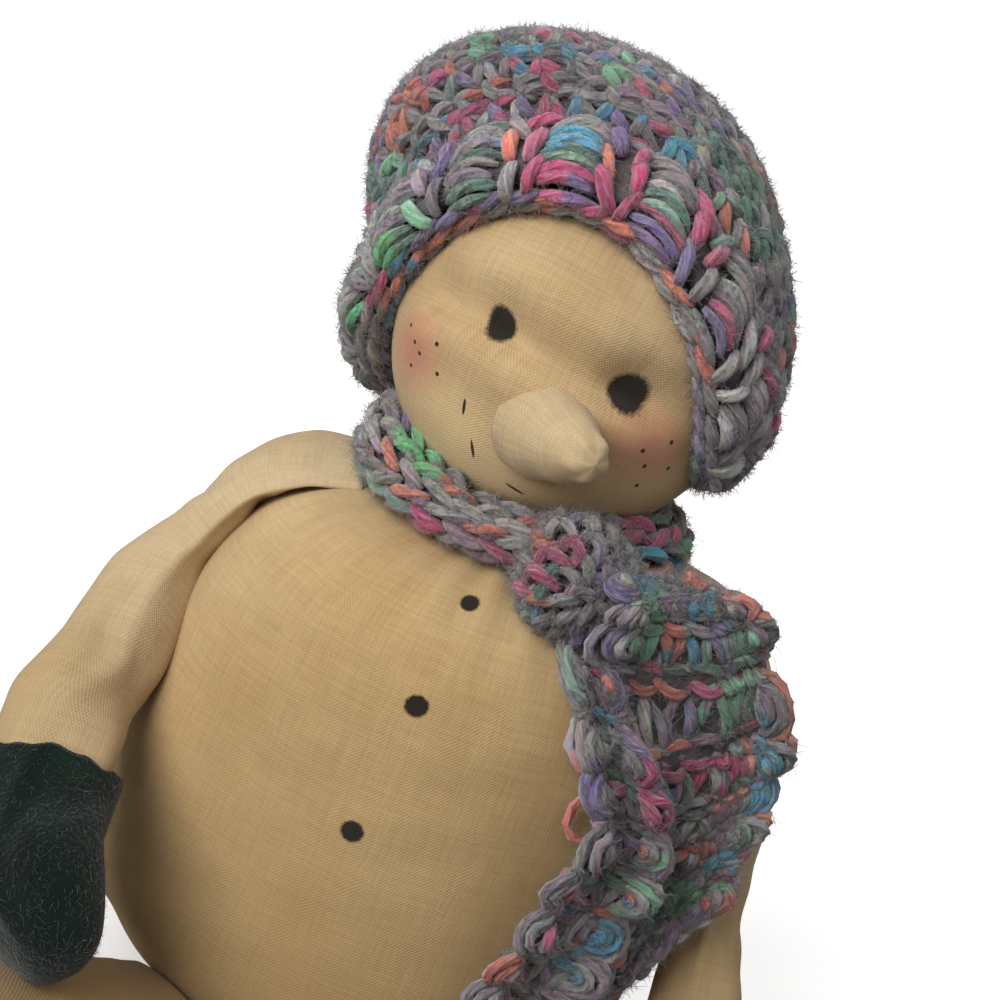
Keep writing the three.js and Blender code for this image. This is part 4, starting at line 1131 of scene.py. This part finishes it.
def place_hat(angle, radius, height):
    """A point of the hat from its angle round the head, radius and height: the rim is drawn down over the
    ears and up at the nape, the top slouches aside, and the whole is tilted back and leaned over."""
    rise = RIM_LEAN * np.cos(angle) + RIM_SADDLE * np.cos(2 * (angle - RIM_TURN))
    ear = np.maximum(0, np.sin(angle))**2
    rise = rise + RIM_NAPE * np.maximum(0, -np.cos(angle))**2 - RIM_EAR * ear
    radius = radius - EAR_TUCK * ear * (1 - smooth(-2, 1.6 * CUFF_DEPTH, height))
    top = smooth(cuff_top, 0.8 * HAT_HEIGHT, height)
    x = radius * np.sin(angle) - HAT_SLOUCH * top
    y = -radius * np.cos(angle)
    z = height + rise * (1 - top)
    y, z = turned(y, z, HAT_TILT)
    x, z = turned(x, z, HAT_LEAN)
    return np.stack([x, y, z], -1) + head_centre


def on_profile(profile):
    """A surface function of an angle round the hat and a distance along a profile."""
    run, (radius, height) = run_of(profile), profile.T
    return lambda angle, at: place_hat(angle, np.interp(at, run, radius), np.interp(at, run, height))


def ground(name, profile, replaced):
    """The fabric under the strokes: a profile of (radius, height) turned about the hat's axis."""
    angle = np.linspace(-math.pi, math.pi, HAT_COLUMNS + 1)
    grid = place_hat(angle[None, :], profile[:, :1], profile[:, 1:])
    uv = np.stack(np.broadcast_arrays(angle[None, :] * hat_outside, run_of(profile)[:, None]), -1)
    made = closed_surface(name, grid[:, :-1], uv, yarn_painted_shade, "hat")
    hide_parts(replaced)
    print(f"{name}: {len(made.data.polygons)} faces")


def shaded_ground(name):
    """The depth of the fabric between the strokes: the same yarn, darkened as painted shade."""
    material, tree, shader = new_material(name)
    where = add_node(tree, "TexCoord", output=3)
    clumps = add_node(tree, "TexNoise", {"Vector": where, "Scale": 1 / (GROUND_CLUMP * MM), "Detail": 4.0})
    fine = add_node(tree, "TexNoise", {"Vector": where, "Scale": 1 / (GROUND_FIBRE * MM), "Detail": 3.0})
    share = add_node(tree, "MapRange", [clumps, 0.35, 0.65])
    colour = add_node(tree, "Mix", {0: share, 6: rgba(GROUND_DEEP), 7: rgba(GROUND_LIGHT)}, 2, data_type="RGBA")
    bump = add_node(tree, "Bump", {"Height": fine, "Strength": 0.8, "Distance": GROUND_BUMP * MM})
    set_inputs(tree, shader, {"Base Color": colour, "Normal": bump, "Roughness": 0.95})
    return material


yarn_painted_shade = shaded_ground("heather_yarn_painted_shade")
crown_outer = np.vstack([
    np.linspace((hat_outside, -RIM_DEPTH), (hat_outside, cuff_top), 14)[:-1],
    bezier((hat_outside, cuff_top), (CROWN_RADIUS + CROCHET, crown_bulge), (CROWN_RADIUS, HAT_HEIGHT),
           (0.3, HAT_HEIGHT), 60)])
crown_inner = np.vstack([
    bezier((0.3, HAT_HEIGHT - CROCHET), (CROWN_RADIUS - CROCHET, HAT_HEIGHT - CROCHET),
           (CROWN_RADIUS - CROCHET, crown_bulge), (hat_inside, cuff_top), 40),
    np.linspace((hat_inside, cuff_top), (hat_inside, -RIM_DEPTH), 10)[1:]])
sunk = SUNK * np.c_[smooth(0, 6, crown_outer[:, 0]), smooth(20, HAT_HEIGHT, crown_outer[:, 1])]
sunk_outer = np.maximum(crown_outer - sunk, [0.2, -RIM_DEPTH])
ground("hat_crown_ground", np.vstack([crown_inner, sunk_outer]), "hat_crown")
cuff_wall = cuff_outside - SUNK
cuff_profile = np.vstack([
    np.linspace((cuff_inside, 5), (cuff_inside, 0.7), 5),
    bezier((cuff_inside + 0.6, 0.4), (cuff_wall, 0.2), (cuff_wall, 2), (cuff_wall, 6), 12),
    bezier((cuff_wall, 6), (cuff_wall, cuff_top - 1), (cuff_wall, cuff_top - 0.5),
           (cuff_inside + 0.4, cuff_top - 0.5), 12)[1:],
    np.linspace((cuff_inside, cuff_top - 1), (cuff_inside, 6), 4)])
ground("hat_cuff_ground", cuff_profile, "hat_cuff")

# %% [markdown]
# ### The crown's rounds
#
# A crown is worked in rounds that narrow to the top, so each round has as many stitches as fit its girth.
# Rounds of V stitches alternate with rounds of bars, and each round is shifted by half a stitch.

# %% Crown stitches
STITCH_WIDTH = 5.2
ROUND_HEIGHT = 4.2
FIRST_ROUND = 12.5
CROWN_YARN = 1.12
LOOSE = 0.16
V_LEGS = [stroke((0.02, -0.62), (-0.36, 0.52), 0.1, 0.9, -0.7),
          stroke((0.08, -0.62), (0.42, 0.52), -0.1, 0.9, -0.7)]
BARS = [stroke((-0.6, 0.05), (0.52, 0.3), 0.1, 1.1, -0.8),
        stroke((-0.5, -0.42), (0.58, -0.2), -0.08, 0.8, -0.9)]
LOOP = stroke((-0.55, 0.5), (0.55, 0.56), 0.1, 0.8, -0.7)

draw = np.random.default_rng(7)
crown_surface = with_normals(on_profile(crown_outer), 0.01, 0.2)
crown_run = run_of(crown_outer)
crown_groups = []
for k, middle in enumerate(np.arange(FIRST_ROUND, crown_run[-1] - 2, ROUND_HEIGHT)):
    girth = TAU * np.interp(middle, crown_run, crown_outer[:, 0])
    count = max(4, round(girth / STITCH_WIDTH))
    places, pitch = places_round(count, middle, 0.5 * (k % 2)), (TAU / count, ROUND_HEIGHT)
    for path in (V_LEGS + [LOOP] if k % 2 else BARS + V_LEGS[:1]):
        crown_groups.append(carry(crown_surface, places, pitch, path, draw, CROWN_YARN, LOOSE))
# The crown's yarn is a little darkened: painted shade.
_, *crown_strands = knit("hat_crown_yarn", crown_groups, "hat", 71, 0.42, 0.93)

# %% [markdown]
# ### The cuff's ribs
#
# The cuff is ribbed. Puffs of strands that lie one above the other are drawn in between pairs of upright
# strands, which hold them like posts, and rows of strokes roll round its edges. The fuzz comes last.

# %% Cuff ribs
RIBS = 14
RIB_TURN = 0.42
PUFF_STRANDS = 9
PUFF_YARN, POST_YARN = 0.98, 1.2
PUFF = stroke((-0.29, -0.3), (0.28, -0.2), 0.0, 1.4, -0.55)
PUFF[:, 1] += 0.9 * np.sin(math.pi * run_share)
POSTS = [(-7.4, -0.6), (-1.6, 4.6), (3.2, 8.2)]
EDGE = stroke((-0.6, -0.6), (0.6, 0.6), 0.0, 0.7, -0.3)
cuff_over = spline(np.array([
    [hat_inside - 0.2, 0.2], [hat_inside + 1.2, -1.6], [cuff_outside - 2.4, -1.4], [cuff_outside - 0.4, 1.2],
    [cuff_outside, 6], [cuff_outside - 0.2, 9.6], [cuff_outside - 1.6, cuff_top], [cuff_inside, cuff_top - 0.2]]),
    np.linspace(0, 1, 60))
cuff_surface = with_normals(on_profile(cuff_over), 0.01, 0.2)
cuff_length = run_of(cuff_over)[-1]
rib = TAU / RIBS
rib_angle = -math.pi + rib * (np.arange(RIBS) + RIB_TURN)
cuff_groups = []
for at in np.linspace(5.4, cuff_length - 3.2, PUFF_STRANDS):
    places = np.stack([rib_angle, at + draw.normal(0, 0.3, RIBS)], -1)
    cuff_groups.append(carry(cuff_surface, places, (rib, 1.0), PUFF, draw, PUFF_YARN, 0.06))
for side in (-1, 1):
    places = np.stack([rib_angle + 0.5 * rib, np.full(RIBS, 0.55 * cuff_length)], -1)
    for low, high in POSTS:
        post = stroke((side * 0.07, low), (side * 0.2, high), 0.0, 1.2, -0.5)
        cuff_groups.append(carry(cuff_surface, places, (rib, 1.0), post, draw, POST_YARN, 0.1))
for at, count, size in ((0.9, 40, 0.9), (2.7, 38, 0.95), (4.6, 36, 1.0), (cuff_length - 1.2, 34, 1.05)):
    places = places_round(count, at, 0.2)
    cuff_groups.append(carry(cuff_surface, places, (TAU / count, 1.0), EDGE, draw, size, 0.05))
# The cuff's yarn is lightened: painted light.
_, *cuff_strands = knit("hat_cuff_yarn", cuff_groups, "hat", 72, 0.26, 1.3)
fluffy("hat_crown", crown_strands, "hat", [22000, 22000], 6000, 730)
fluffy("hat_cuff", cuff_strands, "hat", [20000], 4000, 740)

# %% [markdown]
# ## The scarf
#
# The scarf goes once round the neck, is knotted at the doll's left and hangs in two tails. The wrap is a
# bundle of fabric in the crease between body and head, so its strands run along it like a rope. A draped and
# knotted strip would be a hard simulation for little that shows, so each part has a shape of its own.

# %% Scarf wrap
wrap_low, wrap_high = node_box("scarf_wrap")
WRAP_RADIUS = 22.5
WRAP_HALF = 6
WRAP_STEPS, WRAP_SIDES = 120, 24
WRAP_STITCHES = 26
WRAP_ROWS = np.radians([-95, -65, -36, -6, 24, 54, 84])
WRAP_YARN = 1.1
WRAP_CROSSED = [stroke((-0.6, -0.42), (0.5, 0.3), 0.06, 1.0, -0.5),
                stroke((-0.35, 0.35), (0.5, -0.2), -0.05, 0.8, -0.7)]
WRAP_SLANTED = [stroke((-0.6, 0.3), (0.6, -0.3), 0.05, 1.1, -0.5)]
# How far the section is pressed or raised, where, and how far round that spreads, in radians.
CHIN_PRESS, CHIN_ANGLE, CHIN_SPREAD = 0.6, -0.15, 0.6
EAR_RISE, EAR_ANGLE, EAR_SPREAD = 0.7, -1.45, 0.45
wrap_middle = np.array([(wrap_low[0] + wrap_high[0]) / 2, 0, (wrap_low[2] + wrap_high[2]) / 2])


def wrap_shape(angle, turn, radius=WRAP_HALF - 0.4):
    """A point of the wrap: round the neck by an angle, and round its own section by a turn from outside. The
    chin presses its upper half down, and under the right ear it stands up."""
    reach = WRAP_RADIUS + radius * np.cos(turn)
    upper = np.sin(turn) > 0
    pressed = 1 - CHIN_PRESS * np.exp(-((angle - CHIN_ANGLE) / CHIN_SPREAD)**2) * upper
    risen = 1 + EAR_RISE * np.exp(-((angle - EAR_ANGLE) / EAR_SPREAD)**2) * upper
    rise = 0.92 * radius * np.sin(turn) * pressed * risen
    parts = np.broadcast_arrays(reach * np.sin(angle), -reach * np.cos(angle), rise)
    return wrap_middle + np.stack(parts, -1)


angle = np.linspace(-math.pi, math.pi, WRAP_STEPS + 1)[:, None]
turn = np.linspace(0, TAU, WRAP_SIDES + 1)[None, :]
ring_grid = wrap_shape(angle[:-1], turn[:, :-1], WRAP_HALF - 1.6)
quads, unrolled = grid_corners(len(angle), WRAP_SIDES)
ring_faces = quads % (WRAP_STEPS * WRAP_SIDES)
ring_uv = np.stack(np.broadcast_arrays(angle * WRAP_RADIUS, turn * WRAP_HALF), -1).reshape(-1, 2)
wrap = piece("scarf_wrap_ground", ring_grid.reshape(-1, 3), ring_faces.tolist(),
             ring_uv[unrolled].reshape(-1, 2), yarn_painted_shade, "doll")
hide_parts("scarf_wrap")
wrap_surface = with_normals(wrap_shape, 0.01, 0.05)
wrap_groups = []
for k, turn in enumerate(WRAP_ROWS):
    places, pitch = places_round(WRAP_STITCHES, turn, 0.5 * (k % 2)), (TAU / WRAP_STITCHES, 0.52)
    for path in (WRAP_CROSSED if k % 2 else WRAP_SLANTED):
        wrap_groups.append(carry(wrap_surface, places, pitch, path, draw, WRAP_YARN, LOOSE))
_, *wrap_strands = knit("scarf_wrap_yarn", wrap_groups, "doll", 81, 0.4)

# %% [markdown]
# ### The knot
#
# A knot in thick crochet is a lump in which no single turn can be followed. It is a ball with slow lumps,
# covered with rounds of crossing strokes.

# %% Scarf knot
knot_low, knot_high = node_box("scarf_knot")
KNOT_SIZE = knot_high[0] - knot_low[0]
KNOT_AZIMUTH = 21.0
KNOT_MAP = 9
KNOT_LUMPS = 1.3
KNOT_YARN = 1.05
KNOT_ROUNDS = [(0.2, 4), (0.56, 10), (0.95, 14), (1.35, 15), (1.75, 14), (2.1, 11)]
KNOT_STROKES = [stroke((-0.1, -0.75), (0.2, 0.7), 0.2, 1.4, -0.5),
                stroke((-0.55, 0.3), (0.55, 0.45), 0.1, 1.1, -0.6)]
knot_half = KNOT_SIZE / 2 * np.array([1, 0.85, 1])
knot_middle = knot_low + knot_half
knot_axis = np.stack([direction(KNOT_AZIMUTH + 90), np.array([0, 0, 1.0]), direction(KNOT_AZIMUTH)])


def knot_shape(angle, tilt, grow=0.0):
    """A point of the knot: a ball about the axis that points out of the neck, a little flattened."""
    ball = np.stack([np.sin(tilt) * np.cos(angle), np.sin(tilt) * np.sin(angle), np.cos(tilt)], -1)
    lumps = KNOT_LUMPS * ripple(KNOT_MAP * ball, 11, 61)
    return knot_middle + (ball @ knot_axis) * (knot_half + grow - 0.6 + lumps[..., None])


knot_angle, knot_tilt = np.meshgrid(np.linspace(0, TAU, 49), np.linspace(0.03, math.pi - 0.03, 30))
knot_uv = KNOT_MAP * np.stack([knot_angle, knot_tilt], -1)
knot_grid = knot_shape(knot_angle, knot_tilt, -1.3)
knot = closed_surface("scarf_knot_ground", knot_grid[:, :-1], knot_uv, yarn_painted_shade, "doll")
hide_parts("scarf_knot")
knot_surface = with_normals(knot_shape, 0.02, 0.02, -1)
knot_groups = []
for k, (tilt, count) in enumerate(KNOT_ROUNDS):
    places, pitch = places_round(count, tilt, 0.5 * (k % 2), 0), (TAU / count, 0.48)
    for path in KNOT_STROKES:
        knot_groups.append(carry(knot_surface, places, pitch, path, draw, KNOT_YARN, LOOSE))
# The knot's yarn is darkened: painted shade.
_, *knot_strands = knit("scarf_knot_yarn", knot_groups, "doll", 82, 0.3, 0.78)

# %% [markdown]
# ### The tails
#
# A tail is a narrow strip whose edges curl forward and end in a row of bobbles, each of four arches of yarn
# one inside the other. One tail lies down the belly. The other comes over the shoulder and hangs in front of
# the arm. Each is a function of the share of its length and the place across it, and the same stitches go on
# both faces.

# %% Scarf tails
FRONT_TAIL_WIDTH, FRONT_TAIL_LENGTH = 14, 74
SIDE_TAIL_WIDTH, SIDE_TAIL_LENGTH = 20, 78
TAIL_COLUMNS, TAIL_ROWS = 13, 90
TAIL_YARN = 1.0
TAILS_FACE = 36.0
TAIL_CURL = 3
TAIL_RIPPLE = 1.6
TAIL_RIPPLES = 4
TAIL_WIDENING = [(0, 0.45), (0.15, 0.55), (0.3, 0.7), (0.6, 0.95), (1, 0.95)]
TAIL_CURLING = [(0, 0.2), (0.4, 1), (1, 0.7)]
FRONT_TAIL_AZIMUTH = 37
FRONT_TAIL_END = 14
FRONT_TAIL_SWEEP = 8
FRONT_TAIL_STAND = 2.5
SIDE_TAIL_END = 40
SIDE_TAIL_SLANT = 15
SIDE_TAIL_DROP = 9
BOBBLE = 8.4
BOBBLE_INSET = 1.6
BOBBLE_OPENING = 1.9
BOBBLE_LIFT = -0.4
# Each arch of a bobble: how far it reaches, the yarn's radius and how high it stands.
BOBBLE_ARCHES = [(4.0, 0.95, 0.4), (2.8, 0.95, 1.4), (1.7, 0.9, 2.1), (0.6, 0.85, 2.5)]


def tail_forward(share, column):
    """How far a tail stands forward: its edges curl, and the curl ripples down the tail."""
    wave = TAIL_RIPPLE * (1 + np.sin(TAU * TAIL_RIPPLES * share + 2 * column))
    return (TAIL_CURL + wave) * np.minimum(column**2, 1.1) * along(TAIL_CURLING, share)


def front_tail(share, column, lift=CROCHET):
    """The front tail: it lies round the belly and falls straight from its widest ring."""
    top = wrap_middle[2] - KNOT_SIZE / 2
    height = top + share * (FRONT_TAIL_END - top)
    girth = np.where(height > BELLY_HEIGHT, body_girth(height), body_radius)
    stand = FRONT_TAIL_STAND * (1 - smooth(0.3, 0.7, share))
    reach = girth + 0.6 + stand + tail_forward(share, column) + lift
    half = math.degrees(FRONT_TAIL_WIDTH / 2 / body_radius) * along(TAIL_WIDENING, share)
    middle = KNOT_AZIMUTH + (FRONT_TAIL_AZIMUTH - KNOT_AZIMUTH) * np.clip(3 * share, 0, 1)
    middle = middle - FRONT_TAIL_SWEEP * smooth(0.45, 1.1, share)
    out = direction(middle + column * half) * reach[..., None] * (1, body_squash, 0)
    return out + height[..., None] * (0, 0, 1)


SIDE_TAIL_FACES = 34.0
side_out = direction(SIDE_TAIL_FACES)
side_across = direction(SIDE_TAIL_FACES + 90)
SIDE_TAIL_INSET = 3
SIDE_TAIL_INNER = [(0, 0.6), (0.12, 1.1), (0.25, 1.6), (0.4, 2.1), (0.6, 2.05), (0.8, 1.7), (1, 1.6)]
SIDE_TAIL_OUTER = [(0, 0.4), (0.12, 0.45), (0.25, 0.35), (0.45, 0.45), (0.7, 0.6), (1, 0.65)]
SIDE_TAIL_UNDER = 5.5
SIDE_TAIL_FORWARD = 5
SIDE_TAIL_OVER = 9.5
side_place = np.array([body_radius - SIDE_TAIL_INSET, -ARM_FULL / 2 - SIDE_TAIL_FORWARD
                       - SIDE_TAIL_WIDTH / 2 * side_across[1], 0])
side_start = knot_middle + KNOT_SIZE * np.array([0.4, 0, 0.25])
side_over = (side_place + 0.5 * (side_start - side_place) + 3 * side_out) * (1, 1, 0)
side_line = np.array([
    side_start, side_over + (0, 0, SHOULDER_HEIGHT + SIDE_TAIL_OVER),
    *(side_place + (0, 0, SIDE_TAIL_END + s * (SHOULDER_HEIGHT - SIDE_TAIL_END)) for s in (0.7, 0.35, 0))])


def side_tail(share, column, lift=CROCHET):
    """The side tail: it comes over the front of the shoulder and hangs before the arm, its end cut aslant.
    Where it would sink into the belly it is moved out, so that it lies on it."""
    spread = np.where(column < 0, along(SIDE_TAIL_INNER, share), along(SIDE_TAIL_OUTER, share))
    aside = SIDE_TAIL_WIDTH / 2 * column * spread
    tucked = np.clip(spread - 1, 0, 1) * np.clip(-1.2 * column, 0, 1)
    forward = tail_forward(share, column) * (1 - tucked) + lift - SIDE_TAIL_UNDER * tucked
    drop = (SIDE_TAIL_SLANT * column - SIDE_TAIL_DROP) * share - SIDE_TAIL_LENGTH * np.maximum(share - 1, 0)
    points = (spline(side_line, share) + aside[..., None] * side_across + forward[..., None] * side_out
              + drop[..., None] * (0, 0, 1))
    clear = body_girth(points[..., 2]) + 0.8 + lift
    outward = np.maximum(1, clear / np.hypot(points[..., 0], points[..., 1] / body_squash))
    return points * np.stack([outward, outward, np.ones_like(outward)], -1)


def tail(name, shape, width, length, stitches, seed):
    """One tail: the ground strip, its rows of stitches on both faces and the bobbles along its edges."""
    share = np.linspace(0.0, 1, TAIL_ROWS)[:, None]
    column = np.linspace(-1, 1, TAIL_COLUMNS)[None, :]
    front = shape(*np.broadcast_arrays(share, column), CROCHET - 1.5)
    back = shape(*np.broadcast_arrays(share, column[:, ::-1]), 0.8)
    around = np.linspace(0, 2 * width, 2 * TAIL_COLUMNS + 1)[None, :]
    uv = np.stack(np.broadcast_arrays(share * length, around), -1)
    cloth = closed_surface(f"{name}_ground", np.concatenate([front, back], 1), uv, yarn_painted_shade, "doll")
    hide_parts(name)

    def face(lift, flip=1):
        """One face of the tail as a surface with normals, lifted off its back."""
        return with_normals(lambda a, b: shape(a, b, lift), 0.004, 0.02, flip)

    front_lift, back_lift = CROCHET - 0.9, 1.2
    outward = np.sign(face(front_lift)(np.array([0.6]), np.array([0.0]))[1] @ direction(TAILS_FACE))[0]
    front_face = face(front_lift, outward)
    rows = round(length / ROUND_HEIGHT)
    pitch = (1 / rows, 2 / stitches)
    groups = []
    for surface in (front_face, face(back_lift, -outward)):
        for k in range(rows):
            across = -1 + pitch[1] * (np.arange(stitches) + 0.4 + 0.2 * (k % 2))
            places = np.stack([np.full(stitches, (k + 0.6) / rows), across], -1)
            for path in (V_LEGS if k % 2 else BARS):
                groups.append(carry(surface, places, pitch, path[:, [1, 0, 2]], draw, TAIL_YARN, 0.14))
    millimetre = (1 / length, 2 / width)
    count = round(length / BOBBLE)
    at = (np.arange(count) + 0.7) / (count + 0.2) + draw.uniform(-0.02, 0.02, count)
    for edge in (-1, 1):
        for reach, size, height in BOBBLE_ARCHES:
            arch = horseshoe(reach, BOBBLE_OPENING, height, BOBBLE_LIFT) * (1, edge, 1)
            places = np.stack([at, np.full(count, edge * (1 - BOBBLE_INSET / (width / 2)))], -1)
            groups.append(carry(front_face, places, millimetre, arch, draw, size, 0.05))
    across = np.linspace(-0.75, 0.75, round(width / 5))
    for reach, size, height in BOBBLE_ARCHES:
        places = np.stack([np.full(len(across), 1 - 4.5 / length), across], -1)
        arch = horseshoe(reach, BOBBLE_OPENING, height, BOBBLE_LIFT)[:, [1, 0, 2]]
        groups.append(carry(front_face, places, millimetre, arch, draw, size, 0.08))
    # The tails' yarn is darkened: painted shade.
    made, *strands = knit(f"{name}_yarn", groups, "doll", seed, 0.42, 0.88)
    fluffy(name, strands, "doll", [min(3000 * stitches, 18000)], 2500, 10 * seed)


tail("scarf_tail_front", front_tail, FRONT_TAIL_WIDTH, FRONT_TAIL_LENGTH, 3, 83)
tail("scarf_tail_side", side_tail, SIDE_TAIL_WIDTH, SIDE_TAIL_LENGTH, 8, 86)
fluffy("scarf_wrap", wrap_strands, "doll", [12000], 2200, 910)
fluffy("scarf_knot", knot_strands, "doll", [6000], 1500, 920)

# %% [markdown]
# ## Felt hairs
#
# Cut felt sheds short hairs. They are made as the yarn's fibres are, with the columns of the mitten's surface
# in the place of strands, so that they lie along the felt and catch the light at its edge.

# %% Felt hairs
HAIRS = 2600
HAIR_LENGTH, HAIR_RADIUS, HAIR_PALE = 1.5, 0.03, 0.04
HAIR_ROOT = 0.75
GREEN_WOOL = "#1C3A2B"


def felt_hairs(name, skin, outward):
    """Loose hairs on a mitten: its columns serve as the strands that the hairs start from."""
    paths = skin[:, :-1].transpose(1, 0, 2)
    normals = np.broadcast_to(outward, skin.shape)[:, :-1].transpose(1, 0, 2)
    green = np.broadcast_to(linear(GREEN_WOOL), paths.shape)
    fuzz(f"{name}_mitten_hairs", paths - HAIR_ROOT * normals, normals, green, HAIRS, HAIR_LENGTH, HAIR_RADIUS,
         HAIR_PALE, 3, f"{name}_arm", "felt", 95)
    print(f"{name} mitten: {HAIRS} hairs")


for name in ("right", "left"):
    felt_hairs(name, *mitten_skins[name])

# %% [markdown]
# ## Sewing thread
#
# The threads that hold the head and limbs are cotton, two plies twisted round each other. The solid model has
# plain rods in their places, and each pair of plies follows its rod.

# %% Sewing threads
PLY_OFFSET = 0.22
PLY_RADIUS = 0.28
PLY_TURN = 2.6
THREAD_BUMP = 0.3
THREAD_SHADE, THREAD_LIGHT = "#B59E74", "#DCCBA6"


def cotton_thread(name):
    """Mercerised cotton: smooth twisted plies with a slight gloss, drawn as slanting noise."""
    material, tree, shader = new_material(name)
    where = add_node(tree, "TexCoord", output=3)
    drawn = add_node(tree, "VectorMath", [where, (1.0, 1.0, 2.2)], operation="MULTIPLY")
    plies = add_node(tree, "TexNoise", {"Vector": drawn, "Scale": 1 / (CLUMP * MM)})
    share = add_node(tree, "MapRange", [plies, 0.3, 0.7])
    colour = add_node(tree, "Mix", {0: share, 6: rgba(THREAD_SHADE), 7: rgba(THREAD_LIGHT)}, 2, data_type="RGBA")
    bump = add_node(tree, "Bump", {"Height": plies, "Strength": 0.5, "Distance": THREAD_BUMP * MM})
    set_inputs(tree, shader, {"Base Color": colour, "Normal": bump, "Roughness": 0.6})
    return material


def sewn(name, node, line):
    """Two plies along a line, each a helix: the line plus a small offset that turns as the line runs on."""
    across = np.cross(unit(np.gradient(line, axis=0)), (0, 0, 1))
    run = run_of(line)[:, None]
    turns = (PLY_TURN * run, math.pi + PLY_TURN * run)
    plies = np.array([line + PLY_OFFSET * (np.sin(turn) * (0, 0, 1) + np.cos(turn) * across) for turn in turns])
    radii = np.full(plies.shape[:2], PLY_RADIUS)
    upright = np.broadcast_to((0, 0, 1.0), plies.shape)
    made = tubes(name, plies, radii, upright, 6, sewing_thread, "doll", np.ones(plies.shape))
    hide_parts(node)
    print(f"{name}: {run[-1, 0]:.1f} mm of thread")


sewing_thread = cotton_thread("cotton_sewing_thread")
low, high = node_box("neck_thread")
turn = np.linspace(0, TAU, 260)
ring = np.stack([np.sin(turn), np.cos(turn), 0 * turn], -1)
neck_middle, neck_radius = (low + high) / 2, (high[0] - low[0]) / 2 - PLY_OFFSET - PLY_RADIUS
sewn("neck_gathers", "neck_thread", neck_middle + neck_radius * ring)
for name, side in (("right", -1), ("left", 1)):
    for seam in ("shoulder", "hip"):
        low, high = node_box(f"{name}_{seam}_thread")
        reach = (high - low) / 2 * ((0, 1, 0) if seam == "shoulder" else (1, side, 0))
        share = np.linspace(-0.96, 0.96, 90)[:, None]
        sewn(f"{name}_{seam}_stitches", f"{name}_{seam}_thread", (low + high) / 2 + share * reach)

# %% [markdown]
# ## Studio
#
# A pale floor and soft light from above and to the left of the picture. The sky is bright overhead and dim
# below, so the belly darkens towards the seat as it does in the photograph. Where the camera sees it past the
# floor's edge it is plain white. The floor throws no light back on the doll, because the sky does that.

# %% Floor and light
FLOOR_HALF = 30.0
floor_mesh = bpy.data.meshes.new("floor")
floor_corners = [(x * FLOOR_HALF, y * FLOOR_HALF, 0) for x, y in ((-1, -1), (1, -1), (1, 1), (-1, 1))]
floor_mesh.from_pydata(floor_corners, [], [(0, 1, 2, 3)])
floor = bpy.data.objects.new("floor", floor_mesh)
bpy.context.scene.collection.objects.link(floor)
floor_finish, floor_tree, floor_shader = new_material("pale_floor")
set_inputs(floor_tree, floor_shader, {"Base Color": rgba("#FAFAF9"), "Roughness": 1.0,
                                      "Emission Color": rgba("#FFFFFF"), "Emission Strength": 0.5})
floor_mesh.materials.append(floor_finish)
floor.visible_diffuse = False


def sun(name, toward, strength, softness):
    """A far light that shines along a direction, with an angle that softens its shadows."""
    lamp = bpy.data.lights.new(name, "SUN")
    lamp.energy = strength
    lamp.angle = math.radians(softness)
    made = bpy.data.objects.new(name, lamp)
    bpy.context.scene.collection.objects.link(made)
    made.rotation_mode = "QUATERNION"
    made.rotation_quaternion = Vector(toward).to_track_quat("-Z", "Y")


sun("key", toward=(0.56, 0.7, -0.44), strength=2.4, softness=45)
world = bpy.data.worlds.new("studio")
bpy.context.scene.world = world
world.use_nodes = True
sky = world.node_tree
sky_up = add_node(sky, "SeparateXYZ", [add_node(sky, "TexCoord")], 2)
sky_shade = add_node(sky, "MapRange", [sky_up, -0.4, 0.8, 0.06, 0.56])
sky_seen = add_node(sky, "LightPath")
sky_strength = add_node(sky, "Math", [sky_shade, sky_seen], operation="MAXIMUM")
set_inputs(sky, sky.nodes["Background"], {"Strength": sky_strength, "Color": rgba("#FFFFFF")})
bpy.context.scene.view_settings.view_transform = "Standard"
print("studio: a floor, a sky and", len(bpy.data.lights), "lamp")
